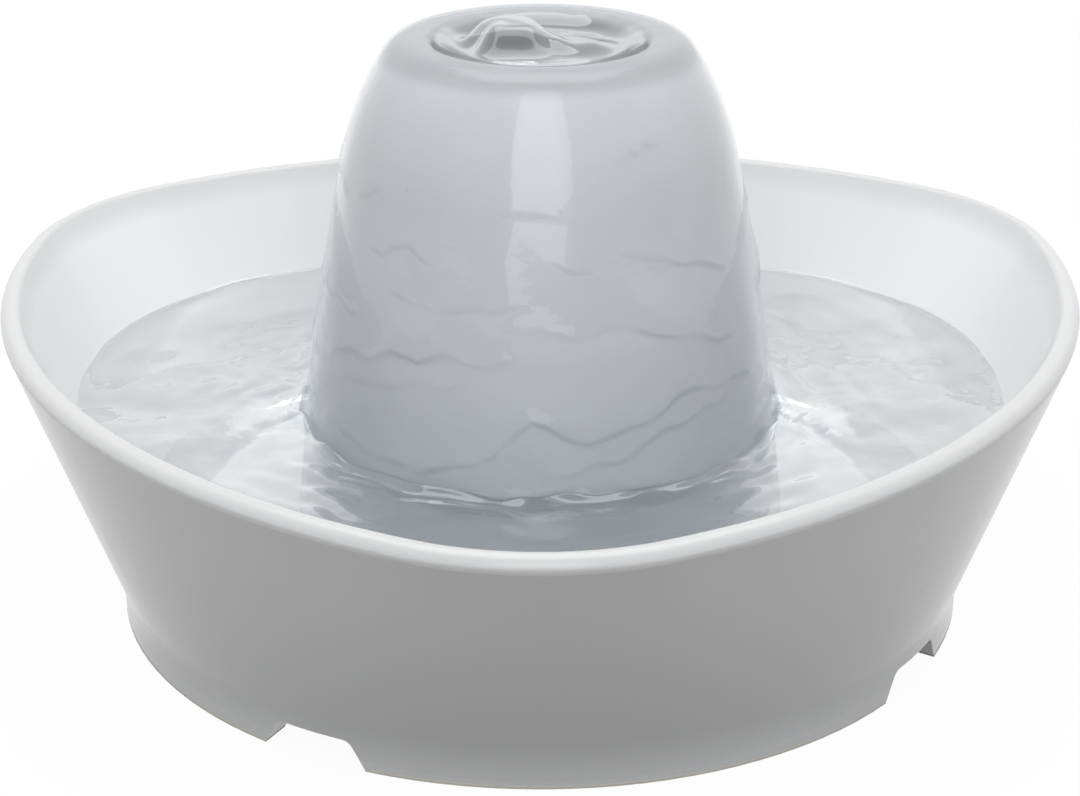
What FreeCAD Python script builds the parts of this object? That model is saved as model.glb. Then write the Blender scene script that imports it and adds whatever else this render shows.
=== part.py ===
import FreeCAD, Part
import math
import operator
import os
import Sketcher
from FreeCAD import Placement, Rotation, Vector

os.makedirs("parts", exist_ok=True)
doc = FreeCAD.newDocument("PetFountain")

# Driving dimensions in millimetres and degrees, each written once
driving = {
    # Bowl
    "rimTop": 81,
    "cornerCentre": 87.8,
    "cornerRadius": 69.9,
    "sideRadius": 201,
    "footRadius": 113.5,
    "footBand": 9,
    "footBlend": 25,
    "bowlWall": 6,
    "rimRound": 2.6,
    "rimInnerRound": 1,
    "bowlFloorTop": 16,
    "bowlFloorThick": 6,
    "bowlFloorCove": 18,
    "footRingWidth": 8,
    "notchHigh": 7.6,
    "notchFootWidth": 28.5,
    "notchTopWidth": 20,
    "notchRound": 2.5,
    "notchAzimuth": -118.5,
    "notchSpread": 85,
    "seatRingHigh": 2.5,
    "seatRingWide": 3,
    # Tower
    "towerTop": 150.5,
    "towerFootRadius": 66.4,
    "towerNeckRadius": 50.5,
    "shoulderHigh": 30.4,
    "towerSideArc": 970,
    "towerShoulderArc": 80,
    "towerTopRound": 7,
    "towerWall": 5,
    "topLand": 6.2,
    "wellDeep": 12.5,
    "wellLip": 2.4,
    "wellCove": 5,
    "orificeRadius": 11,
    "archWide": 22,
    "archHigh": 11,
    "archFlat": 0.4,
    "archShoulder": 0.6,
    "archUnder": 1,
    "towerGap": 0.3,
    # Gasket, riser tube and basket
    "gasketFlange": 14,
    "gasketLip": 1.5,
    "slipGap": 0.3,
    "snugGap": 0.1,
    "riserRadius": 8,
    "riserBore": 6,
    "riserProud": 2,
    "socketDepth": 9,
    "basketRadius": 52,
    "basketWall": 1.6,
    "basketFloor": 1.5,
    "basketTop": 60,
    "basketSlots": 18,
    "slotWide": 5,
    "slotLow": 22,
    "slotHigh": 32,
    "foamThick": 7,
    "foamHigh": 40,
    # Pump
    "axisAside": 8,
    "axisLevel": 48,
    "cupHigh": 6,
    "cupRadius": 6,
    "cupStud": 2,
    "cupInset": 6,
    "cupNeck": 2.6,
    "cupFlare": 3.6,
    "cupStudLong": 1.6,
    "pumpWide": 40,
    "pumpHigh": 39,
    "pumpFront": 5,
    "pumpDeep": 33,
    "pumpWall": 2,
    "voluteRadius": 12,
    "outletBore": 4,
    "spigotRadius": 6.5,
    "chamberRadius": 8.2,
    "chamberEnd": 23.6,
    "wellWall": 1.8,
    "bushRadius": 2.5,
    "bushDeep": 2.4,
    "magnetRadius": 7.4,
    "magnetStart": 6.2,
    "magnetLong": 16.5,
    "impellerGap": 1.4,
    "shaftRadius": 1.25,
    "runningGap": 0.05,
    "impellerRadius": 10.5,
    "hubRadius": 3,
    "bladeStart": 2.25,
    "bladeThick": 1.2,
    "blades": 6,
    "eyeRadius": 6.5,
    "coverThick": 2,
    "intakeDeep": 11,
    "intakeWall": 1.6,
    "stemRadius": 2.5,
    "knobRadius": 7,
    "knobDeep": 3,
    "gripDeep": 1.8,
    "knobClear": 2,
    "dialGap": 1.2,
    "grilleSlot": 2.2,
    "coreThick": 8,
    "legWide": 5.2,
    "legAbove": 7.8,
    "yokeHigh": 5,
    "coilLong": 17,
    "bobbinWall": 0.8,
    "pottingDeep": 8,
    # Carbon cartridge
    "cartridgeWide": 34,
    "cartridgeHigh": 38,
    "cartridgeDeep": 6,
    "cartridgeRim": 2.4,
    "tabHigh": 4,
    "cartridgeSlots": 6,
    # Lead, floor plug and power inlet
    "leadRadius": 1.6,
    "leadOut": 16,
    "leadBack": 22,
    "leadLevel": 50,
    "leadBend": 10,
    "plugBody": 6,
    "plugHead": 7,
    "plugLip": 1.6,
    "inletWide": 11,
    "inletLong": 22,
    "inletHigh": 7.2,
    "inletBore": 2.9,
    "inletPin": 1,
    "leafThick": 0.4,
}


reckon = {"+": operator.add, "-": operator.sub, "*": operator.mul, "/": operator.truediv}


class Size:
    """A length or angle that carries its number and the expression that binds it to the sheet."""

    def __init__(self, value, text):
        self.value = float(value)
        self.text = text

    def _join(self, other, sign, flip=False):
        if not isinstance(other, Size):
            other = Size(other, repr(float(other)))
        left, right = (other, self) if flip else (self, other)
        return Size(reckon[sign](left.value, right.value), f"({left.text} {sign} {right.text})")

    def __add__(self, other):
        return self._join(other, "+")

    def __radd__(self, other):
        return self._join(other, "+", True)

    def __sub__(self, other):
        return self._join(other, "-")

    def __rsub__(self, other):
        return self._join(other, "-", True)

    def __mul__(self, other):
        return self._join(other, "*")

    def __rmul__(self, other):
        return self._join(other, "*", True)

    def __truediv__(self, other):
        return self._join(other, "/")

    def __neg__(self):
        return self * -1


def root(size):
    return Size(math.sqrt(size.value), f"sqrt({size.text})")


def cosine(size):
    return Size(math.cos(math.radians(size.value)), f"cos({size.text})")


def sine(size):
    return Size(math.sin(math.radians(size.value)), f"sin({size.text})")


sheet = doc.addObject("Spreadsheet::Sheet", "Sizes")
worked = doc.addObject("App::VarSet", "Worked")


class Sizes:
    """The sheet's driving dimensions as attributes."""


size = Sizes()
for row, (name, number) in enumerate(driving.items(), start=1):
    sheet.set(f"A{row}", name)
    sheet.set(f"B{row}", str(number))
    sheet.setAlias(f"B{row}", name)
    setattr(size, name, Size(number, f"Sizes.{name}"))
doc.recompute()


def keep(name, formula):
    """Stores a worked-out size under its own name, so that later formulas stay short."""
    worked.addProperty("App::PropertyFloat", name)
    worked.setExpression(name, formula.text)
    return Size(formula.value, f"Worked.{name}")


placedY = {}


def bind(thing, path, formula):
    """Binds a property to a formula on the sheet, and notes each piece's own y place."""
    if not isinstance(formula, Size):
        formula = Size(formula, repr(float(formula)))
    if path == "Placement.Base.y":
        placedY[thing.Name] = formula
    thing.setExpression(path, formula.text)


def originPlane(body, role):
    return [f for f in body.Origin.OriginFeatures if f.Role == role][0]


def newBody(label):
    body = doc.addObject("PartDesign::Body", label)
    body.Label = label
    return body


def newSketch(body, name, role="XY_Plane", level=None):
    sketch = body.newObject("Sketcher::SketchObject", name)
    sketch.AttachmentSupport = [(originPlane(body, role), "")]
    sketch.MapMode = "FlatFace"
    if level is not None:
        bind(sketch, "AttachmentOffset.Base.z", level)
    return sketch


def number(formula):
    return formula.value if isinstance(formula, Size) else float(formula)


def constrain(sketch, kind, *items):
    """Adds a dimension whose last item is its formula, and binds it."""
    formula = items[-1]
    index = sketch.addConstraint(Sketcher.Constraint(kind, *items[:-1], number(formula)))
    if isinstance(formula, Size):
        sketch.setExpression(f"Constraints[{index}]", formula.text)


def pin(sketch, geo, end, x, y):
    """Holds one end of a curve at x, y from the sketch's origin."""
    constrain(sketch, "DistanceX", -1, 1, geo, end, x)
    constrain(sketch, "DistanceY", -1, 1, geo, end, y)


def arcThrough(start, finish, radius, bulge):
    """The arc of the given radius from start to finish that bows to the bulge side."""
    a, b = Vector(*start, 0), Vector(*finish, 0)
    chord = b - a
    half = chord.Length / 2
    across = Vector(-chord.y, chord.x, 0).normalize() * bulge
    sag = radius - math.sqrt(max(radius * radius - half * half, 0))
    middle = (a + b) / 2 + across * sag
    return Part.Arc(b, middle, a) if bulge > 0 else Part.Arc(a, middle, b)


def outline(sketch, corners):
    """Draws a closed outline. Each corner is x, y and, for an arc to the next corner, radius and bulge."""
    points = [(number(c[0]), number(c[1])) for c in corners]
    ends = []
    for i, corner in enumerate(corners):
        start, finish = points[i], points[(i + 1) % len(points)]
        if len(corner) == 2:
            geo = sketch.addGeometry(Part.LineSegment(Vector(*start, 0), Vector(*finish, 0)))
            ends.append((geo, 1, 2))
        else:
            arc = arcThrough(start, finish, number(corner[2]), corner[3])
            geo = sketch.addGeometry(arc)
            forward = (sketch.Geometry[geo].StartPoint - Vector(*start, 0)).Length < 1e-6
            ends.append((geo, 1, 2) if forward else (geo, 2, 1))
    for i in range(len(corners)):
        here, after = ends[i], ends[(i + 1) % len(corners)]
        sketch.addConstraint(Sketcher.Constraint("Coincident", here[0], here[2], after[0], after[1]))
    for i, corner in enumerate(corners):
        pin(sketch, ends[i][0], ends[i][1], corner[0], corner[1])
        if len(corner) > 2:
            constrain(sketch, "Radius", ends[i][0], corner[2])


def edgesWhere(feature, test):
    names = []
    for index, edge in enumerate(feature.Shape.Edges, start=1):
        if test(edge):
            names.append(f"Edge{index}")
    return names


def roundEdges(body, feature, name, radius, test):
    """Rounds the edges that pass the test."""
    doc.recompute()
    names = edgesWhere(feature, test)
    if not names:
        raise RuntimeError(f"{body.Label}: no edges for {name}")
    fillet = body.newObject("PartDesign::Fillet", name)
    fillet.Base = (feature, names)
    bind(fillet, "Radius", radius)
    return fillet


# The bowl's outline is a rounded triangle of tangent arcs, one corner towards the front.
# Between foot and rim it fades linearly into a circle, so the wall is one ruled surface.
deepening = size.sideRadius - size.cornerRadius
sideCentre = keep("sideCentre", (root(deepening * deepening * 4 - size.cornerCentre * size.cornerCentre * 3)
                                 - size.cornerCentre) / 2)
joinAngle = keep("joinAngle", Size(
    math.degrees(math.atan2(sideCentre.value * math.sin(math.radians(60)),
                            size.cornerCentre.value + sideCentre.value / 2)),
    f"atan2({sideCentre.text} * sin(60), {size.cornerCentre.text} + {sideCentre.text} / 2)"))


def triangleRing(sketch, share, radius):
    """Draws the outline with its corner centres at this share of their rim distance."""
    corners = []
    for turn in (-90, 30, 150):
        for side in (-1, 1):
            normal = turn + side * joinAngle
            x = radius * cosine(normal) + share * size.cornerCentre * math.cos(math.radians(turn))
            y = radius * sine(normal) + share * size.cornerCentre * math.sin(math.radians(turn))
            bow = radius if side < 0 else radius + share * deepening
            corners.append((x, y, bow, -1))
    outline(sketch, corners)


def atLevel(edge, level):
    box = edge.BoundBox
    return abs(box.ZMin - level) < 0.01 and abs(box.ZMax - level) < 0.01


def reach(edge):
    """Distance of an edge's middle from the object's axis."""
    middle = edge.valueAt((edge.FirstParameter + edge.LastParameter) / 2)
    return math.hypot(middle.x, middle.y)


def edgeAt(radius, level, slack=0.05):
    """Test for a round edge at this radius and level."""
    return lambda e: atLevel(e, level.value) and abs(reach(e) - number(radius)) < slack


def padFrom(body, name, sketch, length):
    pad = body.newObject("PartDesign::Pad", name)
    pad.Profile = sketch
    bind(pad, "Length", length)
    return pad


def pocketFrom(body, name, sketch, length, reverse=False):
    """Cuts a sketch into the body and stops if nothing was removed."""
    doc.recompute()
    before = body.Shape.Volume
    pocket = body.newObject("PartDesign::Pocket", name)
    pocket.Profile = sketch
    pocket.Reversed = reverse
    bind(pocket, "Length", length)
    doc.recompute()
    if not pocket.Shape.Volume < before - 0.5:
        raise RuntimeError(f"{body.Label}: {name} cut nothing")
    return pocket


def circleSketch(body, name, level, radius, x=0, y=0, inner=None):
    sketch = newSketch(body, name, level=level)
    for r in (radius, inner):
        if r is not None:
            centre = Vector(number(x), number(y), 0)
            geo = sketch.addGeometry(Part.Circle(centre, Vector(0, 0, 1), number(r)))
            if isinstance(x, Size) or isinstance(y, Size) or x or y:
                pin(sketch, geo, 3, x, y)
            else:
                sketch.addConstraint(Sketcher.Constraint("Coincident", geo, 3, -1, 1))
            constrain(sketch, "Radius", geo, r)
    return sketch


def repeatRound(body, feature, name, copies, angle=360):
    pattern = body.newObject("PartDesign::PolarPattern", name)
    pattern.Originals = [feature]
    pattern.Axis = (originPlane(body, "Z_Axis"), [""])
    bind(pattern, "Angle", angle)
    bind(pattern, "Occurrences", copies)
    body.Tip = pattern
    return pattern


def notchSketch(body, name, turn):
    """The notch's drafted outline, on an upright plane through the axis, facing outwards."""
    sketch = body.newObject("Sketcher::SketchObject", name)
    sketch.AttachmentSupport = [(originPlane(body, "YZ_Plane"), "")]
    sketch.MapMode = "FlatFace"
    sketch.AttachmentOffset = Placement(Vector(0, 0, 0), Rotation(Vector(0, 1, 0), turn.value))
    bind(sketch, "AttachmentOffset.Rotation.Angle", turn)
    foot = size.notchFootWidth / 2
    top = size.notchTopWidth / 2
    outline(sketch, [(-foot, 0), (foot, 0), (top, size.notchHigh), (-top, size.notchHigh)])
    return sketch


# Worked-out places that several pieces share
leadX = keep("leadX", size.pumpWide / 2 - size.axisAside + size.leadOut)
neckLevel = size.towerTop - size.shoulderHigh
wellFloor = size.towerTop - size.wellDeep
cutReach = size.footRadius * 1.2


def sideArcCentre():
    """Centre of the tower's long side arc, which runs from the foot to the neck."""
    footLevel = size.bowlFloorTop + size.towerGap
    across = size.towerFootRadius - size.towerNeckRadius
    up = neckLevel - footLevel
    chord = root(across * across + up * up)
    far = root(size.towerSideArc * size.towerSideArc - chord * chord / 4)
    x = (size.towerFootRadius + size.towerNeckRadius) / 2 - far * up / chord
    z = (neckLevel + footLevel) / 2 - far * across / chord
    return keep("sideArcX", x), keep("sideArcZ", z)


sideX, sideZ = sideArcCentre()
shoulderShare = size.towerShoulderArc / size.towerSideArc
shoulderX = keep("shoulderX", size.towerNeckRadius + (sideX - size.towerNeckRadius) * shoulderShare)
shoulderZ = keep("shoulderZ", neckLevel + (sideZ - neckLevel) * shoulderShare)


def onArc(centreX, centreZ, radius, level):
    """Distance from the axis of the arc's outer side at this level."""
    return centreX + root(radius * radius - (level - centreZ) * (level - centreZ))


towerFoot = size.bowlFloorTop + size.towerGap
towerInnerFoot = keep("towerInnerFoot", onArc(sideX, sideZ, size.towerSideArc - size.towerWall, towerFoot))


def isNotchCorner(edge):
    """Test for the straight edges along a notch's ceiling."""
    isRing = size.footRadius.value - size.footRingWidth.value < reach(edge) < size.footRadius.value
    return isRing and isinstance(edge.Curve, Part.Line) and atLevel(edge, size.notchHigh.value)


def makeBowl():
    body = newBody("bowl")
    footSketch = newSketch(body, "FootOutline")
    triangleRing(footSketch, 0, size.footRadius)
    padFrom(body, "FootPad", footSketch, size.footBand)
    low = newSketch(body, "WallLow", level=size.footBand)
    triangleRing(low, 0, size.footRadius)
    high = newSketch(body, "WallHigh", level=size.rimTop)
    triangleRing(high, 1, size.cornerRadius)
    wall = body.newObject("PartDesign::AdditiveLoft", "WallLoft")
    wall.Profile = low
    wall.Sections = [high]
    wall.Ruled = True
    roundEdges(body, wall, "FootBlend", size.footBlend, lambda e: atLevel(e, size.footBand.value))
    hollowLow = newSketch(body, "HollowLow", level=size.bowlFloorTop)
    triangleRing(hollowLow, 0, size.footRadius - size.bowlWall)
    hollowHigh = newSketch(body, "HollowHigh", level=size.rimTop)
    triangleRing(hollowHigh, 1, size.cornerRadius - size.bowlWall)
    hollow = body.newObject("PartDesign::SubtractiveLoft", "Hollow")
    hollow.Profile = hollowLow
    hollow.Sections = [hollowHigh]
    hollow.Ruled = True
    cove = roundEdges(body, hollow, "FloorCove", size.bowlFloorCove,
                      lambda e: atLevel(e, size.bowlFloorTop.value))
    cornerReach = size.cornerCentre.value + size.cornerRadius.value
    doc.recompute()
    inner = cornerReach - size.bowlWall.value
    innerEdge = roundEdges(body, cove, "RimInner", size.rimInnerRound,
                           lambda e: atLevel(e, size.rimTop.value) and abs(reach(e) - inner) < 0.1)
    roundEdges(body, innerEdge, "RimOuter", size.rimRound,
               lambda e: atLevel(e, size.rimTop.value) and reach(e) > cornerReach - 0.1)
    seatOuter = towerInnerFoot - size.slipGap * 2
    seat = circleSketch(body, "SeatRing", size.bowlFloorTop, seatOuter, inner=seatOuter - size.seatRingWide)
    padFrom(body, "SeatRingPad", seat, size.seatRingHigh)
    recessRadius = size.footRadius - size.footRingWidth
    recess = circleSketch(body, "Recess", 0, recessRadius)
    pocketFrom(body, "RecessPocket", recess, size.bowlFloorTop - size.bowlFloorThick, reverse=True)
    for index, turn in enumerate((size.notchAzimuth, size.notchAzimuth + size.notchSpread)):
        sketch = notchSketch(body, f"Notch{index}", turn)
        pocket = pocketFrom(body, f"NotchPocket{index}", sketch, cutReach, reverse=True)
        repeatRound(body, pocket, f"NotchPair{index}", 2)
    hole = circleSketch(body, "PlugHole", 0, size.plugBody, leadX, size.leadBack)
    holePocket = pocketFrom(body, "PlugHolePocket", hole, size.bowlFloorTop * 2, reverse=True)
    roundEdges(body, holePocket, "NotchRounds", size.notchRound, isNotchCorner)
    return body


def turned(label, corners, x=0, y=0, z=0, alongY=False):
    """A body turned about its own axis from a profile of radius and height."""
    body = newBody(label)
    sketch = newSketch(body, f"{label}Profile", "XZ_Plane")
    outline(sketch, corners)
    spin = body.newObject("PartDesign::Revolution", f"{label}Turned")
    spin.Profile = sketch
    spin.ReferenceAxis = (sketch, ["V_Axis"])
    spin.Angle = 360
    place(body, x, y, z, alongY)
    return body


def place(thing, x=0, y=0, z=0, alongY=False):
    """Moves a piece to x, y, z, and lays its own Z axis along +Y if asked."""
    if alongY:
        thing.Placement = Placement(Vector(0, 0, 0), Rotation(Vector(1, 0, 0), -90))
    for path, distance in (("x", x), ("y", y), ("z", z)):
        if isinstance(distance, Size) or distance:
            bind(thing, f"Placement.Base.{path}", distance)
    return thing


def archSketch(body, name, turn, wide, low, high):
    """A flat-topped arch on an upright plane through the axis, facing outwards."""
    sketch = body.newObject("Sketcher::SketchObject", name)
    sketch.AttachmentSupport = [(originPlane(body, "YZ_Plane"), "")]
    sketch.MapMode = "FlatFace"
    sketch.AttachmentOffset = Placement(Vector(0, 0, 0), Rotation(Vector(0, 1, 0), turn))
    half = wide / 2
    flat = half * size.archFlat
    shoulder = high - half * size.archShoulder
    outline(sketch, [(-half, low), (half, low), (half, shoulder),
                     (flat, high), (-flat, high), (-half, shoulder)])
    return sketch


def makeTower():
    """The tower is a thimble-shaped shell with a dished top and an open foot."""
    capRound = size.towerTopRound
    capZ = size.towerTop - capRound
    capX = keep("capX", onArc(shoulderX, shoulderZ, size.towerShoulderArc - capRound, capZ))
    grow = size.towerShoulderArc / (size.towerShoulderArc - capRound)
    dishRadius = keep("dishRadius", capX - size.topLand)
    joinX = keep("capJoinX", shoulderX + (capX - shoulderX) * grow)
    joinZ = keep("capJoinZ", shoulderZ + (capZ - shoulderZ) * grow)
    under = wellFloor - size.towerWall
    innerShoulder = size.towerShoulderArc - size.towerWall
    shrink = (size.towerSideArc - size.towerWall) / size.towerSideArc
    neckX = keep("innerNeckX", sideX + (size.towerNeckRadius - sideX) * shrink)
    neckZ = keep("innerNeckZ", sideZ + (neckLevel - sideZ) * shrink)
    ceilingX = keep("ceilingX", onArc(shoulderX, shoulderZ, innerShoulder, under))
    body = turned("tower", [
        (towerInnerFoot, towerFoot),
        (size.towerFootRadius, towerFoot, size.towerSideArc, -1),
        (size.towerNeckRadius, neckLevel, size.towerShoulderArc, -1),
        (joinX, joinZ, capRound, -1),
        (capX, size.towerTop),
        (dishRadius, size.towerTop),
        (dishRadius, wellFloor),
        (size.orificeRadius, wellFloor),
        (size.orificeRadius, under),
        (ceilingX, under, innerShoulder, 1),
        (neckX, neckZ, size.towerSideArc - size.towerWall, 1),
    ])
    doc.recompute()
    lip = roundEdges(body, body.Tip, "WellLip", size.wellLip, edgeAt(dishRadius, size.towerTop))
    roundEdges(body, lip, "WellCove", size.wellCove, edgeAt(dishRadius, wellFloor))
    for turn in (0, 90, 180):
        sketch = archSketch(body, f"Arch{turn}", turn, size.archWide, size.bowlFloorTop - size.archUnder,
                            size.bowlFloorTop + size.archHigh)
        pocketFrom(body, f"ArchPocket{turn}", sketch, cutReach, reverse=True)
    return body


def block(name, x, y, z):
    """A box between two x, two y and two z places."""
    box = doc.addObject("Part::Box", name)
    for side, (low, high), path in (("Length", x, "x"), ("Width", y, "y"), ("Height", z, "z")):
        bind(box, side, high - low)
        bind(box, f"Placement.Base.{path}", low)
    return box


def rod(name, radius, span, x=0, y=0, z=0, along="z"):
    """A round bar along one axis, from the first to the second place of its span."""
    bar = doc.addObject("Part::Cylinder", name)
    bind(bar, "Radius", radius)
    bind(bar, "Height", span[1] - span[0])
    if along == "y":
        bar.Placement = Placement(Vector(0, 0, 0), Rotation(Vector(1, 0, 0), -90))
    if along == "x":
        bar.Placement = Placement(Vector(0, 0, 0), Rotation(Vector(0, 1, 0), 90))
    for path, distance in (("x", x), ("y", y), ("z", z)):
        bind(bar, f"Placement.Base.{path}", span[0] if path == along else distance)
    return bar


def fused(name, pieces):
    joined = doc.addObject("Part::MultiFuse", name)
    joined.Shapes = pieces
    joined.Label = name
    return joined


def cutFrom(name, base, tools):
    """The base less its tools, checked by volume."""
    tool = fused(f"{name}Tools", tools) if len(tools) > 1 else tools[0]
    result = doc.addObject("Part::Cut", name)
    result.Base = base
    result.Tool = tool
    result.Label = name
    doc.recompute()
    if not result.Shape.Volume < base.Shape.Volume - 0.01:
        raise RuntimeError(f"{name}: nothing was cut")
    return result


def tube(label, outer, inner, low, high, **places):
    return turned(label, [(inner, low), (outer, low), (outer, high), (inner, high)], **places)


# Places in the pump, which stands on the basket floor with its rotor axis along Y
onFloor = size.bowlFloorTop + size.basketFloor
pumpLeft = -size.axisAside - size.pumpWide / 2
pumpRight = -size.axisAside + size.pumpWide / 2
pumpLow = onFloor + size.cupHigh
pumpTop = pumpLow + size.pumpHigh
pumpRear = size.pumpDeep - size.pumpFront
roomX = (pumpLeft + size.pumpWall, pumpRight - size.pumpWall)
roomZ = (pumpLow + size.pumpWall, pumpTop - size.pumpWall)
wellRadius = size.chamberRadius + size.wellWall
wellEnd = size.chamberEnd + size.bushDeep + size.wellWall
onAxis = {"x": -size.axisAside, "z": size.axisLevel, "along": "y"}
turnedOnAxis = {"x": -size.axisAside, "z": size.axisLevel, "alongY": True}
pottingFront = pumpRear - size.pottingDeep
coverFront = -size.pumpFront - size.coverThick
intakeFront = coverFront - size.intakeDeep


def cupPlaces():
    """The four suction cups, inset from the corners of the pump's underside."""
    for x in (pumpLeft + size.cupInset, pumpRight - size.cupInset):
        for y in (size.cupInset - size.pumpFront, pumpRear - size.cupInset):
            yield x, y


def makePumpBody():
    shellX, shellY = (pumpLeft, pumpRight), (-size.pumpFront, pumpRear)
    outer = block("PumpBlock", shellX, shellY, (pumpLow, pumpTop))
    room = block("MotorRoom", roomX, (size.pumpFront + size.pumpWall, pumpRear), roomZ)
    case = cutFrom("PumpCase", outer, [room])
    rotorWell = rod("RotorWell", wellRadius, (size.pumpFront, wellEnd), **onAxis)
    spigot = rod("Spigot", size.spigotRadius, (pumpTop, pumpTop + size.socketDepth))
    solid = fused("PumpSolid", [case, rotorWell, spigot])
    middle = size.pumpFront - size.pumpFront
    tools = [
        rod("VoluteRoom", size.voluteRadius, (-size.pumpFront, size.pumpFront), **onAxis),
        rod("RotorChamber", size.chamberRadius, (middle, size.chamberEnd), **onAxis),
        rod("BushPocket", size.bushRadius + size.snugGap,
            (middle, size.chamberEnd + size.bushDeep), **onAxis),
        rod("OutletBore", size.outletBore, (size.axisLevel, pumpTop + size.socketDepth)),
        rod("LeadHole", size.leadRadius + size.snugGap, (roomX[1], pumpRight),
            y=size.leadBack, z=size.leadLevel, along="x"),
    ]
    for index, (x, y) in enumerate(cupPlaces()):
        tools.append(rod(f"StudHole{index}", size.cupStud + size.snugGap,
                         (pumpLow, pumpLow + size.cupStudLong), x=x, y=y))
    return cutFrom("pump_body", solid, tools)


def makePotting():
    fill = block("PottingBlock", roomX, (pottingFront, pumpRear), roomZ)
    well = rod("PottingWell", wellRadius + size.snugGap, (pottingFront, wellEnd + size.snugGap), **onAxis)
    return cutFrom("motor_potting", fill, [well])


coreLegGap = wellRadius + size.snugGap * 5
coreMiddle = (size.pumpFront + size.pumpWall + pottingFront) / 2
coreY = (coreMiddle - size.coreThick / 2, coreMiddle + size.coreThick / 2)
coilLow = roomZ[0] + size.snugGap * 4
coilHigh = size.axisLevel - wellRadius - size.snugGap * 5
yokeMiddle = (coilLow + coilHigh) / 2
yokeZ = (yokeMiddle - size.yokeHigh / 2, yokeMiddle + size.yokeHigh / 2)
coilX = (-size.axisAside - size.coilLong / 2, -size.axisAside + size.coilLong / 2)


def grown(span, by):
    return span[0] - by, span[1] + by


def makeStator():
    """A U-shaped iron core round the rotor well, its yoke through the coil."""
    left = -size.axisAside - coreLegGap
    right = -size.axisAside + coreLegGap
    yoke = block("Yoke", (left - size.legWide, right + size.legWide), coreY, yokeZ)
    legZ = (yokeZ[0], size.axisLevel + size.legAbove)
    legs = [block("LegLeft", (left - size.legWide, left), coreY, legZ),
            block("LegRight", (right, right + size.legWide), coreY, legZ)]
    core = fused("stator_core", [yoke] + legs)
    wall = size.bobbinWall
    gap = size.snugGap
    sleeve = block("BobbinSleeve", coilX, grown(coreY, wall + gap), grown(yokeZ, wall + gap))
    flangeY = (size.pumpFront + size.pumpWall + gap, pottingFront - gap)
    flanges = [block("FlangeLeft", (coilX[0] - wall, coilX[0]), flangeY, (coilLow, coilHigh)),
               block("FlangeRight", (coilX[1], coilX[1] + wall), flangeY, (coilLow, coilHigh))]
    window = block("BobbinWindow", grown(coilX, wall), grown(coreY, gap), grown(yokeZ, gap))
    bobbin = cutFrom("coil_bobbin", fused("BobbinSolid", [sleeve] + flanges), [window])
    winding = block("WindingBlock", grown(coilX, -gap), grown(flangeY, -gap * 2),
                    grown((coilLow, coilHigh), -gap * 2))
    inside = block("WindingInside", coilX, grown(coreY, wall + gap * 2), grown(yokeZ, wall + gap * 2))
    return [core, bobbin, cutFrom("stator_coil", winding, [inside])]


def makeImpeller():
    """Hub, back plate and straight blades, in the rotor's own frame with its axis along Z."""
    body = newBody("impeller")
    bore = size.shaftRadius + size.runningGap
    plateLow = size.magnetStart - size.coverThick
    plate = circleSketch(body, "PlateSketch", plateLow, size.magnetRadius, inner=bore)
    padFrom(body, "Plate", plate, size.coverThick)
    bladeLow = size.impellerGap - size.pumpFront
    hub = circleSketch(body, "HubSketch", bladeLow, size.hubRadius, inner=bore)
    padFrom(body, "Hub", hub, plateLow - bladeLow)
    blade = newSketch(body, "BladeSketch", level=bladeLow)
    half = size.bladeThick / 2
    outline(blade, [(size.bladeStart, -half), (size.impellerRadius, -half),
                    (size.impellerRadius, half), (size.bladeStart, half)])
    pad = padFrom(body, "Blade", blade, plateLow - bladeLow)
    repeatRound(body, pad, "Blades", size.blades)
    return place(body, -size.axisAside, 0, size.axisLevel, alongY=True)


def makeRotor():
    magnet = tube("rotor_magnet", size.magnetRadius, size.shaftRadius + size.runningGap,
                  size.magnetStart, size.magnetStart + size.magnetLong, **turnedOnAxis)
    bushEnd = size.chamberEnd + size.bushDeep
    rearBush = tube("rear_bush", size.bushRadius, size.shaftRadius + size.runningGap,
                    size.chamberEnd + size.snugGap, bushEnd, **turnedOnAxis)
    frontEnd = coverFront - size.coverThick / 2
    frontBush = tube("front_bush", size.bushRadius, size.shaftRadius + size.runningGap,
                     frontEnd, -size.pumpFront, **turnedOnAxis)
    shaft = rod("rotor_shaft", size.shaftRadius, (frontEnd, bushEnd), **onAxis)
    return [makeImpeller(), magnet, rearBush, frontBush, shaft]


def makeVoluteCover():
    """Front plate with a half-moon intake eye and a spider that holds the front bush."""
    plate = block("CoverPlate", (pumpLeft, pumpRight), (coverFront, -size.pumpFront), (pumpLow, pumpTop))
    eye = doc.addObject("Part::Common", "Eye")
    eye.Base = rod("EyeRound", size.eyeRadius, (coverFront, -size.pumpFront), **onAxis)
    eye.Tool = block("EyeHalf", grown((-size.axisAside, -size.axisAside), size.eyeRadius),
                     (coverFront, -size.pumpFront), (size.axisLevel - size.eyeRadius, size.axisLevel))
    ring = cutFrom("CoverRing", plate, [eye])
    arm = size.bladeThick
    reachX = (-size.axisAside - size.eyeRadius - arm, -size.axisAside + size.eyeRadius + arm)
    reachZ = (size.axisLevel - size.eyeRadius - arm, size.axisLevel + size.eyeRadius + arm)
    armY = (coverFront, -size.pumpFront)
    across = block("SpiderAcross", reachX, armY, (size.axisLevel - arm / 2, size.axisLevel + arm / 2))
    upright = block("SpiderUpright", (-size.axisAside - arm / 2, -size.axisAside + arm / 2), armY, reachZ)
    hubY = (coverFront - size.coverThick / 2, -size.pumpFront)
    hub = rod("SpiderHub", size.bushRadius + arm, hubY, **onAxis)
    bore = rod("SpiderBore", size.bushRadius + size.snugGap, hubY, **onAxis)
    return cutFrom("volute_cover", fused("CoverSolid", [ring, across, upright, hub]), [bore])


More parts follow.
